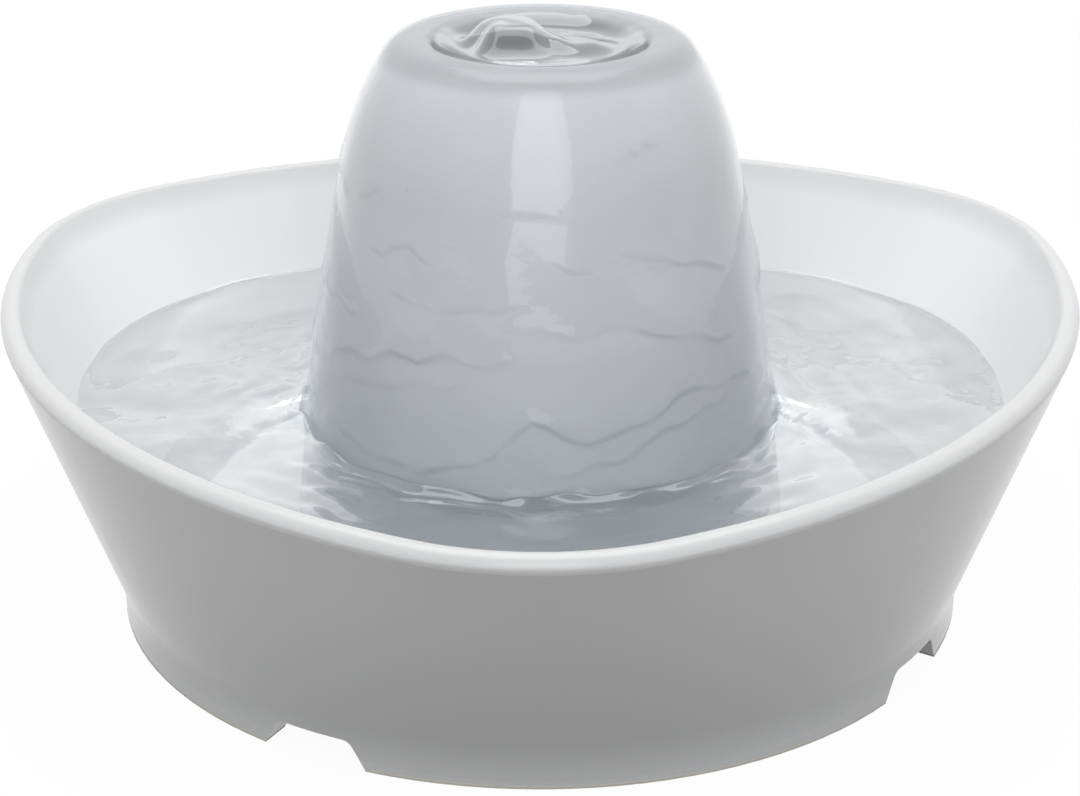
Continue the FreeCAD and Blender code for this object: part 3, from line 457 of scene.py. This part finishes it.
pool = {
    "level": 51.0,
    "columns": 600,
    "sunk": 0.4,            # how deep its sides and bottom go into the ceramic
    "towerWall": 62.4,      # the tower's outer radius at the water line
    "tint": (0.925, 0.938, 0.948),
    "mirror": 4.2,          # how many times plain water's mirror strength
    "most": 0.95,           # the largest share that it mirrors
    "ripple": 0.006,        # metres, of the finest ripples
    "rippleDeep": 0.00012,
    "ringAt": 2.0,          # mm from the tower to the raised ring
    "ringHigh": 1.3,
    "ringWide": 1.7,
    "waveLong": 9.5,        # the ring waves: their length, height and how far they carry
    "waveHigh": 0.46,
    "waveReach": 21,
    "meniscus": 1.1,
    "meniscusWide": 1.3,
    "shoulder": 1.5,        # how far its sides start under its surface
}


def innerWall(facing, level, outward=0.0):
    # the bowl's inner wall at a level, where its outward normal has this angle: three corner arcs and three
    # side arcs that grow out of the floor's circle; the cove draws it in near the floor
    shape = bowlShape
    share = np.clip((level - shape["floor"]) / (shape["rim"] - shape["floor"]), 0, 1)
    climb = np.clip((level - shape["floor"]) / shape["coveUp"], 0, 1)
    inset = shape["cove"] * (1 - np.sqrt(climb)) ** 2
    turn = (np.degrees(facing) + 90) % 120
    fromCorner = np.minimum(turn, 120 - turn)
    onCorner = fromCorner <= shape["cornerHalf"]
    cornerWay = np.radians(np.round((np.degrees(facing) + 90) / 120) * 120 - 90)
    sideWay = np.radians(np.floor((np.degrees(facing) + 90) / 120) * 120 - 30)
    away = np.where(onCorner, shape["cornerOut"], -shape["sideBack"]) * share
    heading = np.where(onCorner, cornerWay, sideWay)
    radius = shape["floorArc"] + (shape["cornerArc"] - shape["floorArc"]) * share
    radius = radius + np.where(onCorner, 0, shape["sideMore"] * share) - inset + outward
    return away * np.cos(heading) + radius * np.cos(facing), away * np.sin(heading) + radius * np.sin(facing)


def poolHeight(x, y):
    # the water's surface over the pool: a raised ring where the film falls in, ring waves that die out,
    # and a light chop everywhere
    far = np.hypot(x, y)
    angle = np.arctan2(y, x)
    gap = far - pool["towerWall"]
    outside = eased(gap, -1.0, 1.5)
    ringAt = pool["ringAt"] + 0.9 * harmonics(angle, 11, 5, 19)
    ringHigh = 1.0 + 0.45 * harmonics(angle, 12, 4, 23)
    plunge = pool["ringHigh"] * ringHigh * np.exp(-((gap - ringAt) / pool["ringWide"]) ** 2)
    wander = 1.9 * harmonics(angle, 13, 3, 13) + 1.2 * harmonics(angle, 14, 9, 31)
    uneven = 0.65 + 0.35 * harmonics(angle + gap / 30, 15, 3, 17)
    fade = np.exp(-np.abs(gap) / pool["waveReach"])
    rings = pool["waveHigh"] * uneven * fade * np.sin(2 * math.pi * gap / pool["waveLong"] + wander)
    streaks = crossingWaves(far, angle * 26, 23, 14, 4.5, 11, 0.075) * np.exp(-np.abs(gap - 5) / 9)
    shortChop = crossingWaves(x, y, 22, 12, 7, 16, 0.045) * np.exp(-np.abs(gap) / 30)
    chop = crossingWaves(x, y, 21, 16, 16, 60, 0.034) + shortChop + streaks
    calm = 0.15 + 0.85 * outside
    return pool["level"] + (plunge + rings) * outside + chop * calm


def makePool():
    # circles inside the tower, closer ones round its foot, then lines that turn into the bowl's outline; from
    # there down the wall, just inside the ceramic, and back along the floor
    columns = pool["columns"]
    facing = np.linspace(0, 2 * math.pi, columns, endpoint=False)
    circles = np.concatenate([np.linspace(3, 57, 8), np.linspace(58, 76, 38)])
    x = circles[:, None] * np.cos(facing)
    y = circles[:, None] * np.sin(facing)
    edgeX, edgeY = innerWall(facing, pool["level"] + 0.6, pool["sunk"])
    outward = np.linspace(0, 1, 72)[1:, None]
    x = np.vstack([x, x[-1] + (edgeX - x[-1]) * outward])
    y = np.vstack([y, y[-1] + (edgeY - y[-1]) * outward])
    toWall = np.hypot(edgeX - x, edgeY - y)
    meniscus = pool["meniscus"] * np.exp(-toWall / pool["meniscusWide"])
    top = np.stack([x, y, poolHeight(x, y) + meniscus], axis=-1)
    sideTop = pool["level"] - pool["shoulder"]
    levels = sideTop - (sideTop - bowlShape["floor"]) * np.linspace(0, 1, 14) ** 0.8
    walls = []
    for level in levels:
        wallX, wallY = innerWall(facing, level, pool["sunk"])
        walls.append(np.stack([wallX, wallY, np.full(columns, level - pool["sunk"])], axis=-1))
    low = bowlShape["floor"] - pool["sunk"]
    around = np.stack([np.cos(facing), np.sin(facing), np.zeros(columns)], axis=-1)
    bottom = [radius * around + (0, 0, low) for radius in (80, 50, 20)]
    points = np.concatenate([top, np.array(walls), np.array(bottom)])
    return gridPiece("water_pool", points, poleFirst=(0, 0, pool["level"]), poleLast=(0, 0, low))


def waterFinish(name, water, onTower=False):
    # clear water that mirrors by Fresnel's law, boosted; on the tower it mirrors less on the cap, where the
    # sheet lies still, and more in the well, and the marks shade the lower edges of the ripple fronts
    finish = Finish(name)
    surface = finish.bump(finish.noise(water["ripple"], 2.0, 0.5), water["rippleDeep"])
    mirror, most = water["mirror"], water["most"]
    if onTower:
        inWell = 1 - finish.reach().over(water["wellRadius"], 0.0015)
        still = finish.height().over(water["stillLevel"], 0.0015) * (1 - inWell) * water["calmed"]
        mirror = (inWell * water["wellMirror"] + mirror) * (1 - still)
        most = inWell * water["wellMost"] + most
    share = (finish.node("ShaderNodeFresnel", {}, IOR=1.333, Normal=surface).out() * mirror).within(0, most)
    clear = finish.node("ShaderNodeBsdfTransparent", {}, water["tint"]).out()
    gloss = finish.node("ShaderNodeBsdfGlossy", {}, Color=(0.97, 0.98, 0.99), Roughness=0.03, Normal=surface)
    shader = finish.node("ShaderNodeMixShader", {}, share, clear, gloss.out()).out()
    if onTower:
        # painted shade: a dark matte sheet mixed in along the marks, for the darker look of the water at each
        # ripple front's lower edge
        marks = finish.node("ShaderNodeAttribute", {"attribute_name": "marks"}).out("Fac")
        shade = finish.node("ShaderNodeBsdfDiffuse", {}, water["edgeShade"]).out()
        shader = finish.node("ShaderNodeMixShader", {}, marks * water["edgeShare"], shader, shade).out()
    return finish.done(shader)


waterPool = makePool()
dress(waterPool, waterFinish("poolWater", pool))
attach(waterPool, "base")
print("pool ready")


film = {
    "columns": 480,
    "low": 45.0,            # where the film ends under the pool's surface
    "thick": 0.6,
    "streams": 0.22,        # how much thicker its streams are
    "sunk": 0.35,
    "tint": (0.945, 0.953, 0.962),
    "mirror": 1.6,
    "most": 0.5,
    "ripple": 0.004,
    "rippleDeep": 0.00006,
    "stillLevel": 0.1455,   # metres; above this level, outside the well's radius, the mirror is calmed
    "wellRadius": 0.0265,
    "calmed": 0.6,
    "wellMirror": 2.2,
    "wellMost": 0.12,
    "edgeShade": (0.20, 0.21, 0.23),
    "edgeShare": 0.42,
    "crest": 155.6,         # the top of the welling bubble
    "bubbleLeft": 7.5,      # how far left of the axis it stands
    "bubbleTail": 2.3,      # the height of the slope that runs off it to the right
    "wellLevel": 148.0,
    "overLip": 0.75,
    "frontMore": 1.35,      # how much water all the fronts carry, times their own
    "backLong": 3.2,
    "faceLong": 0.7,
    "behind": 26,           # fronts round the back and sides
    # ripple fronts: degrees round from the front, levels in mm there, zigzag in mm and its length in degrees,
    # and how much water the front carries
    "fronts": [
        ((-64, -52, -40, -26, -8), (76, 79, 82, 84, 85), 1.1, 10, 0.50),
        ((-58, -46, -34, -20), (71, 73, 76, 78), 0.7, 8, 0.26),
        ((-28, -15, -2, 11, 24, 38, 62), (55, 60, 70, 65, 68, 74, 71), 0.5, 9, 0.60),
        ((2, 18, 34, 50), (57, 60, 66, 69), 0.8, 7, 0.34),
        ((-62, -46, -34), (58, 57, 55), 1.0, 9, 0.42),
        ((-50, -38, -28), (106, 109, 107), 0.9, 9, 0.34),
        ((-60, -52, -44), (117, 120, 118), 0.6, 8, 0.22),
        ((20, 34, 54), (110, 107, 101), 0.5, 12, 0.34),
        ((22, 36, 56), (92, 88, 82), 0.8, 10, 0.36),
        ((22, 40), (131, 135), 0.3, 12, 0.22),
        ((-14, 6), (121, 119), 0.6, 9, 0.26),
        ((4, 14), (108, 106), 0.5, 8, 0.28),
        ((-8, 12, 22), (93, 91, 93), 0.6, 9, 0.20),
        ((-40, -22, -6), (97, 96, 98), 0.6, 9, 0.20),
    ],
}

towerShape = {
    "sideArc": 970.0, "sideX": -898.96, "sideZ": -78.455,
    "shoulderArc": 80.0, "shoulderX": -27.806, "shoulderZ": 103.724,
    "capArc": 7.0, "capX": 33.406, "capZ": 143.5,
    "neckLevel": 120.1, "capStart": 33.02, "top": 150.5,
    "well": 27.2, "wellFloor": 138.0, "wellLip": 2.4, "wellCove": 5.0,
}


def arcPoints(centreX, centreZ, radius, first, last, count):
    # points and outward normals along an arc from one angle to another, in degrees from level
    angle = np.radians(np.linspace(first, last, count))
    normals = np.stack([np.cos(angle), np.sin(angle)], axis=-1)
    return np.array([centreX, centreZ]) + radius * normals, normals


def towerOutside(rows, shoulderRows=20, capRows=9):
    # the tower's outer profile from under the water line up to the flat of its top, with outward normals
    shape = towerShape
    low = math.degrees(math.asin((film["low"] - shape["sideZ"]) / shape["sideArc"]))
    neck = math.degrees(math.asin((shape["neckLevel"] - shape["sideZ"]) / shape["sideArc"]))
    join = shape["capStart"]
    side, shoulder, cap = (
        arcPoints(shape[part + "X"], shape[part + "Z"], shape[part + "Arc"], first, last, count)
        for part, first, last, count in (
            ("side", low, neck, rows), ("shoulder", neck, join, shoulderRows), ("cap", join, 90, capRows)))
    points = np.concatenate([side[0], shoulder[0][1:], cap[0][1:]])
    normals = np.concatenate([side[1], shoulder[1][1:], cap[1][1:]])
    return points, normals


def filmThickness(angle, level):
    # how thick the film is: broad streams that drift down the tower, and uneven ripple fronts
    # whose lower edges are steep and whose backs thin out upwards
    drift = 0.25 * np.sin(level / 17.0)
    streams = 0.5 + 0.5 * harmonics(angle + drift, 31, 5, 17)
    thick = film["thick"] + film["streams"] * streams
    fromFront = (np.degrees(angle) + 90 + 180) % 360 - 180
    random = np.random.default_rng(33)
    fronts = list(film["fronts"])
    marks = np.zeros_like(thick)
    for front in range(film["behind"]):
        first = random.uniform(75, 250)
        last = first + random.uniform(25, 70)
        base = random.uniform(56, 130)
        fronts.append(((first, (first + last) / 2, last), base + random.uniform(-5, 5, 3),
                       random.uniform(0.4, 1.1), random.uniform(8, 12), random.uniform(0.2, 0.5)))
    for number, (places, levels, zig, pitch, water) in enumerate(fronts):
        middle = (places[0] + places[-1]) / 2
        away = (fromFront - middle + 180) % 360 - 180 + middle
        line = np.interp(away, places, levels)
        phase = away / pitch + 0.35 * harmonics(angle, 70 + number, 3, 11)
        line = line + zig * (np.abs(phase % 2 - 1) * 2 - 1) + 0.25 * harmonics(angle, 40 + number, 17, 61)
        starts = eased(away, places[0] - 4, places[0] + 3)
        window = starts * (1 - eased(away, places[-1] - 3, places[-1] + 4))
        above = level - line
        back = np.exp(-np.clip(above, 0, None) / film["backLong"])
        face = np.exp(-(np.clip(-above, 0, None) / film["faceLong"]) ** 2)
        thick = thick + film["frontMore"] * water * window * np.minimum(back, face)
        patchy = np.clip(0.65 + 0.5 * harmonics(angle, 100 + number, 5, 23), 0.1, 1)
        # where that painted shade falls: just under each front's lower edge, patchy along it
        marks = np.maximum(marks, water * window * patchy * np.exp(-((above + 0.35) / 0.62) ** 2))
    foot = np.exp(-((level - pool["level"]) / 2.2) ** 2)
    return thick + foot * (0.9 + 0.5 * harmonics(angle, 35, 5, 21)), marks


def wellHeight(x, y):
    # the water over the tower's top: a lopsided welling crest, a dip round it, and a thin sheet over the lip
    far = np.hypot(x, y)
    angle = np.arctan2(y, x)
    shape = towerShape
    lipLevel = shape["top"] + film["overLip"]
    toLip = eased(far, 19.0, 28.5)
    surface = film["wellLevel"] + (lipLevel - film["wellLevel"]) * toLip
    fromBubble = x + film["bubbleLeft"]
    wobble = 1 + 0.13 * harmonics(np.arctan2(y, fromBubble), 51, 2, 5)
    humpX = fromBubble / np.where(fromBubble < 0, 9.6, 11.2) / wobble
    humpY = y / 11.0 / wobble
    hump = np.exp(-(humpX ** 2 + humpY ** 2) ** 1.9)
    tail = np.exp(-(((x - 9) / 10.0) ** 2 + ((y + 2) / 8.0) ** 2) ** 1.5)
    folds = crossingWaves(x, y, 52, 9, 7, 15, 0.16) * np.exp(-(far / 19) ** 4)
    rise = (film["crest"] - film["wellLevel"] - 0.06 * (x + 10)) * hump
    ripples = 0.06 * harmonics(angle, 53, 5, 25) * eased(far, 20, 27)
    slope = film["bubbleTail"] * tail * (1 - hump)
    return surface + np.maximum(rise, 0) + slope + folds * (0.4 + 0.6 * hump) + ripples


def makeFilm():
    # from the middle of the well over the lip and down the tower, then back up just inside the ceramic
    shape = towerShape
    angle = np.linspace(0, 2 * math.pi, film["columns"], endpoint=False)
    base, normals = towerOutside(112)
    level = base[:, 1][:, None]
    thick, marks = filmThickness(angle[None, :], level)
    thick[0] = -film["sunk"]
    blendIn = eased(base[:, 1], film["low"], film["low"] + 2.0)[:, None]
    thick = -film["sunk"] + (thick + film["sunk"]) * blendIn
    topward = eased(base[:, 1], 146.0, 150.5)[:, None]
    thick = thick * (1 - topward) + film["overLip"] * topward
    radius = base[:, 0][:, None] + thick * normals[:, 0][:, None]
    height = level + thick * normals[:, 1][:, None]
    outside = np.stack([radius * np.cos(angle), radius * np.sin(angle), height + 0 * angle], axis=-1)
    inward = np.linspace(32.6, 1.2, 44)
    x = inward[:, None] * np.cos(angle)
    y = inward[:, None] * np.sin(angle)
    surface = wellHeight(x, y)
    settle = eased(inward, 28.5, 33.0)[:, None]
    surface = surface * (1 - settle) + (shape["top"] + film["overLip"]) * settle
    top = np.stack([x, y, surface], axis=-1)
    under, underNormals = towerOutside(5, 4, 3)
    under = under - film["sunk"] * underNormals
    lip = arcPoints(shape["well"] + shape["wellLip"], shape["top"] - shape["wellLip"],
                    shape["wellLip"] - film["sunk"], 90, 180, 6)[0]
    cove = arcPoints(shape["well"] - shape["wellCove"], shape["wellFloor"] + shape["wellCove"],
                     shape["wellCove"] + film["sunk"], 0, -90, 6)[0]
    low = shape["wellFloor"] - film["sunk"]
    bottom = np.array([[12.0, low], [6.0, low]])
    inner = np.concatenate([under[1:], lip, cove, bottom])
    sunk = np.stack([inner[:, 0][:, None] * np.cos(angle), inner[:, 0][:, None] * np.sin(angle),
                     inner[:, 1][:, None] + 0 * angle], axis=-1)
    points = np.concatenate([top[::-1], outside[::-1], sunk])
    pointMarks = np.zeros(points.shape[:2])
    pointMarks[len(top):len(top) + len(outside)] = marks[::-1]
    middle = float(wellHeight(np.zeros(1), np.zeros(1))[0])
    return gridPiece("water_film", points, poleFirst=(0, 0, middle), poleLast=(0, 0, low), marks=pointMarks)


waterFilm = makeFilm()
dress(waterFilm, waterFinish("filmWater", film, onTower=True))
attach(waterFilm, "tower")
print("film ready")


# the soft filters

foam = {
    "low": 17.6, "high": 57.3, "inner": 43.4, "outer": 50.0,
    "corner": 1.2,
    "cell": 0.5,            # mm that its open cells dip
    "cellWide": 0.0013,     # metres, in its finish
    "sag": 0.25,
    "columns": 260,
    "colour": (0.20, 0.215, 0.225),
    # painted shade: the colour inside the open cells
    "deep": (0.05, 0.055, 0.06),
    "stain": (0.26, 0.25, 0.22),
}


def roundedBox(wide, high, corner, count):
    # points of a superellipse, x = a cos^p and z = b sin^p, that comes close to a rectangle with rounded
    # corners: the power falls as the corner gets smaller beside the shorter side
    angle = np.linspace(0, 2 * math.pi, count, endpoint=False)
    power = 2.0 / max(2.0, 2.0 * min(wide, high) / (corner * 2.2))
    x = wide / 2 * np.sign(np.cos(angle)) * np.abs(np.cos(angle)) ** power
    z = high / 2 * np.sign(np.sin(angle)) * np.abs(np.sin(angle)) ** power
    return x, z


def makeFoam():
    # the sleeve is a rounded oblong section carried round the axis, with open cells pressed into its faces
    steps = []
    width = foam["outer"] - foam["inner"]
    height = foam["high"] - foam["low"]
    corner = foam["corner"]
    for centreX, centreZ, start in ((width - corner, height - corner, 0), (corner, height - corner, 90),
                                    (corner, corner, 180), (width - corner, corner, 270)):
        turn = np.radians(np.linspace(start, start + 90, 5))
        steps.append(np.stack([centreX + corner * np.cos(turn), centreZ + corner * np.sin(turn),
                               np.cos(turn), np.sin(turn)], axis=-1))
    outline = []
    for first, second in zip(steps, steps[1:] + steps[:1]):
        outline.append(first)
        gap = np.hypot(*(second[0, :2] - first[-1, :2]))
        share = np.linspace(0, 1, int(gap / 1.1) + 2)[1:-1, None]
        outline.append(first[-1] * (1 - share) + second[0] * share)
    outline = np.concatenate(outline)
    angle = np.linspace(0, 2 * math.pi, foam["columns"], endpoint=False)
    along = np.cumsum(np.hypot(*np.diff(np.vstack([outline[:1, :2], outline[:, :2]]), axis=0).T))[:, None]
    middle = (foam["inner"] + foam["outer"]) / 2
    dips = crossingWaves(angle * middle, along + 0 * angle, 61, 14, 2.6, 6.0, 0.9) * foam["cell"]
    dips = np.clip(dips, -0.55, 0.15)
    sag = foam["sag"] * harmonics(angle, 62, 2, 6)
    radius = foam["inner"] + outline[:, 0][:, None] + (dips + 0.3 * sag) * outline[:, 2][:, None]
    level = foam["low"] + outline[:, 1][:, None] + (dips + sag) * outline[:, 3][:, None] * 0.6
    points = np.stack([radius * np.cos(angle), radius * np.sin(angle), level], axis=-1)
    return gridPiece("foam_sleeve", points[::-1], ring=True)


def foamFinish():
    finish = Finish("filterFoam")
    cell = finish.cells(foam["cellWide"])
    holes = 1 - cell.over(0.42, 0.2)
    finer = finish.cells(0.0006)
    cloud = finish.noise(0.012, 3.0)
    # painted shade: the foam darker in its cell hollows
    tint = finish.blend(holes * 0.85, foam["colour"], foam["deep"])
    tint = finish.blend((cloud - 0.35) * 0.5, tint, foam["stain"])
    surface = finish.bump(cell, 0.0006, finish.bump(finer, 0.0002))
    return finish.done(finish.skin(**{"Base Color": tint, "Roughness": 0.95, "Normal": surface,
                                      "Sheen Weight": 0.25}))


foamSleeve = makeFoam()
dress(foamSleeve, foamFinish())
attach(foamSleeve, "base")
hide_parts("foam_filter")


carbon = {
    "inset": 0.15,          # mm left round the pad in its tray
    "puff": 0.35,           # mm that the felt bulges between its edges
    "corner": 2.4,
    "columns": 160,
    "rings": 34,
    "lump": 0.22,           # mm of the grains that show through the felt
    "grainWide": 0.0011,    # metres, in its finish
    "colour": (0.035, 0.036, 0.04),
    "fibre": (0.55, 0.55, 0.53),
}


def makeCarbonPad():
    # two crowned faces that meet at a rounded edge: rings of an oblong grow from each face's middle
    low, high = (np.array(corner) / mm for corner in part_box("carbon_pad"))
    middle = (low + high) / 2 - np.array([0, axisBehind, 0])
    wide, deep, tall = high - low - 2 * carbon["inset"]
    across, up = roundedBox(wide, tall, carbon["corner"], carbon["columns"])
    rings = []
    for side in (1, -1):
        share = np.sin(np.linspace(0.04, 1, carbon["rings"]) * math.pi / 2)
        if side < 0:
            share = share[-2::-1]
        edge = np.sqrt(np.clip(1 - share ** 14, 0, 1))
        x = share[:, None] * across
        z = share[:, None] * up
        crown = deep / 2 - carbon["puff"] * share[:, None] ** 4
        lumps = crossingWaves(x + 3 * side, z, 71, 14, 2.2, 4.5, 0.35) * carbon["lump"]
        y = side * edge[:, None] * (crown + np.clip(lumps - 0.1, -0.35, 0.05))
        rings.append(np.stack([x, y, z], axis=-1))
    points = np.concatenate(rings)
    first, last = (middle + (0, points[row, 0, 1], 0) for row in (0, -1))
    return gridPiece("carbon_bag", points + middle, poleFirst=first, poleLast=last)


def carbonFinish():
    finish = Finish("carbonFelt")
    grain = finish.cells(carbon["grainWide"])
    glint = finish.noise(0.0008, 2.0)
    felt = finish.noise(0.0005, 4.0, 0.7, place=finish.place(scale=(1, 1, 3)))
    threads = felt.over(0.62, 0.05) * 0.5
    tint = finish.blend(threads, carbon["colour"], carbon["fibre"])
    rough = 0.95 - glint.over(0.6, 0.1) * 0.5
    surface = finish.bump(grain, 0.0005, finish.bump(felt, 0.0002))
    return finish.done(finish.skin(**{"Base Color": tint, "Roughness": rough, "Normal": surface}))


carbonBag = makeCarbonPad()
dress(carbonBag, carbonFinish())
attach(carbonBag, "cartridge")
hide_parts("carbon_pad")
print("foam and carbon ready")


# the pieces of the pump, the filters and the power inlet

def moulded(name, colour, grain, roughness, coat=0.0):
    # plastic or rubber from a mould: fine grain, faint flow clouds and scuffs
    finish = Finish(name)
    cloud = finish.noise(0.014, 3.0, 0.6)
    scuff = finish.noise(0.004, 4.0, 0.7, place=finish.place(scale=(1, 1, 4))).over(0.63, 0.04)
    tint = finish.blend((cloud - 0.3) * 0.5, colour, tuple(value * 0.82 + 0.01 for value in colour))
    tint = finish.blend(scuff * 0.25, tint, tuple(min(value * 1.5 + 0.03, 0.9) for value in colour))
    surface = finish.bump(finish.noise(grain, 2.0, 0.6), grain * 0.05)
    surface = finish.bump(cloud, 0.0001, surface)
    rough = cloud * 0.1 + scuff * 0.12 + roughness
    return finish.done(finish.skin(**{"Base Color": tint, "Roughness": rough, "Normal": surface,
                                      "Coat Weight": coat}))


def clearFinish(name, tint, mirror):
    # clear tube: tinted see-through with faint draw lines along it
    finish = Finish(name)
    lines = finish.noise(0.0015, 2.0, 0.5, place=finish.place(scale=(1, 1, 0.03)))
    surface = finish.bump(lines, 0.00012)
    fresnel = finish.node("ShaderNodeFresnel", {}, IOR=1.46, Normal=surface).out()
    share = (fresnel * mirror + 0.06).within(0, 0.95)
    clear = finish.node("ShaderNodeBsdfTransparent", {}, tint).out()
    gloss = finish.node("ShaderNodeBsdfGlossy", {}, Color=(0.9, 0.93, 0.94), Roughness=0.08, Normal=surface)
    return finish.done(finish.node("ShaderNodeMixShader", {}, share, clear, gloss.out()).out())


def layered(name, colour, gap, axis, pitch, depth, metallic, roughness):
    # stacked sheets or wound wire: a fine ridge every pitch metres along one axis, and painted shade in the
    # grooves between them
    finish = Finish(name)
    along = finish.node("ShaderNodeSeparateXYZ", {}, finish.place()).out(axis)
    wobble = finish.noise(0.004, 2.0) * pitch * 0.5
    wave = along.math("SINE", (along + wobble) * (2 * math.pi / pitch))
    ridge = wave * 0.5 + 0.5
    cloud = finish.noise(0.006, 3.0, 0.6)
    groove = 1 - ridge.over(0.25, 0.2)
    tint = finish.blend(cloud * 0.4, colour, tuple(value * 0.75 for value in colour))
    # painted shade: the gap colour in the grooves between the sheets or windings
    tint = finish.blend(groove * 0.7, tint, gap)
    surface = finish.bump(ridge, depth)
    rough = cloud * 0.15 + roughness
    return finish.done(finish.skin(**{"Base Color": tint, "Metallic": metallic, "Roughness": rough,
                                      "Normal": surface}))


def ground(name, colour, grain, roughness, metallic=0.0, stretch=(1, 1, 1)):
    # ground or polished hard pieces: fine grain, often stretched along the way it was worked
    finish = Finish(name)
    fine = finish.noise(grain, 3.0, 0.65, place=finish.place(scale=stretch))
    cloud = finish.noise(0.005, 2.0)
    tint = finish.blend(fine.over(0.5, 0.3) * 0.5, colour, tuple(value * 0.7 for value in colour))
    surface = finish.bump(fine, grain * 0.06)
    rough = fine * 0.2 + cloud * 0.08 + roughness
    return finish.done(finish.skin(**{"Base Color": tint, "Metallic": metallic, "Roughness": rough,
                                      "Normal": surface}))


finishes = (
    (moulded("blackPlastic", (0.030, 0.031, 0.034), grain=0.0005, roughness=0.42),
     ["pump_body", "volute_cover", "intake_cover", "power_inlet"]),
    (moulded("greyPlastic", (0.40, 0.42, 0.435), grain=0.0006, roughness=0.45),
     ["pump_basket", "flow_dial"]),
    (moulded("whitePlastic", (0.78, 0.78, 0.76), grain=0.0005, roughness=0.35),
     ["cartridge_frame", "cartridge_grille", "coil_bobbin", "impeller"]),
    (moulded("softRubber", (0.045, 0.045, 0.047), grain=0.0003, roughness=0.65),
     ["suction_cups", "floor_plug", "lead_gland", "rear_bush", "front_bush"]),
    (moulded("clearSilicone", (0.74, 0.76, 0.765), grain=0.0008, roughness=0.30, coat=0.2),
     ["tower_gasket"]),
    (moulded("leadJacket", (0.040, 0.040, 0.043), grain=0.0004, roughness=0.5),
     ["pump_lead"]),
    (moulded("epoxy", (0.018, 0.018, 0.021), grain=0.003, roughness=0.12, coat=0.5),
     ["motor_potting"]),
    (clearFinish("clearTube", (0.86, 0.90, 0.91), mirror=1.6),
     ["riser_tube"]),
    (layered("coreSteel", (0.46, 0.47, 0.49), gap=(0.10, 0.10, 0.11), axis="Y", pitch=0.0005, depth=0.00008,
             metallic=0.9, roughness=0.32),
     ["stator_core"]),
    (layered("copperWire", (0.72, 0.30, 0.13), gap=(0.22, 0.07, 0.03), axis="X", pitch=0.0004, depth=0.00016,
             metallic=0.8, roughness=0.28),
     ["stator_coil"]),
    (ground("ferrite", (0.075, 0.075, 0.083), grain=0.0006, roughness=0.42),
     ["rotor_magnet"]),
    (ground("shaftCeramic", (0.84, 0.83, 0.78), grain=0.0004, roughness=0.10),
     ["rotor_shaft"]),
    (ground("contactBrass", (0.80, 0.60, 0.28), grain=0.0003, roughness=0.15, metallic=1.0,
            stretch=(1, 0.1, 1)),
     ["inlet_pin", "inlet_contact"]),
)
for material, wearers in finishes:
    for wearer in wearers:
        dress(nodes[wearer], material)
print("finishes ready")
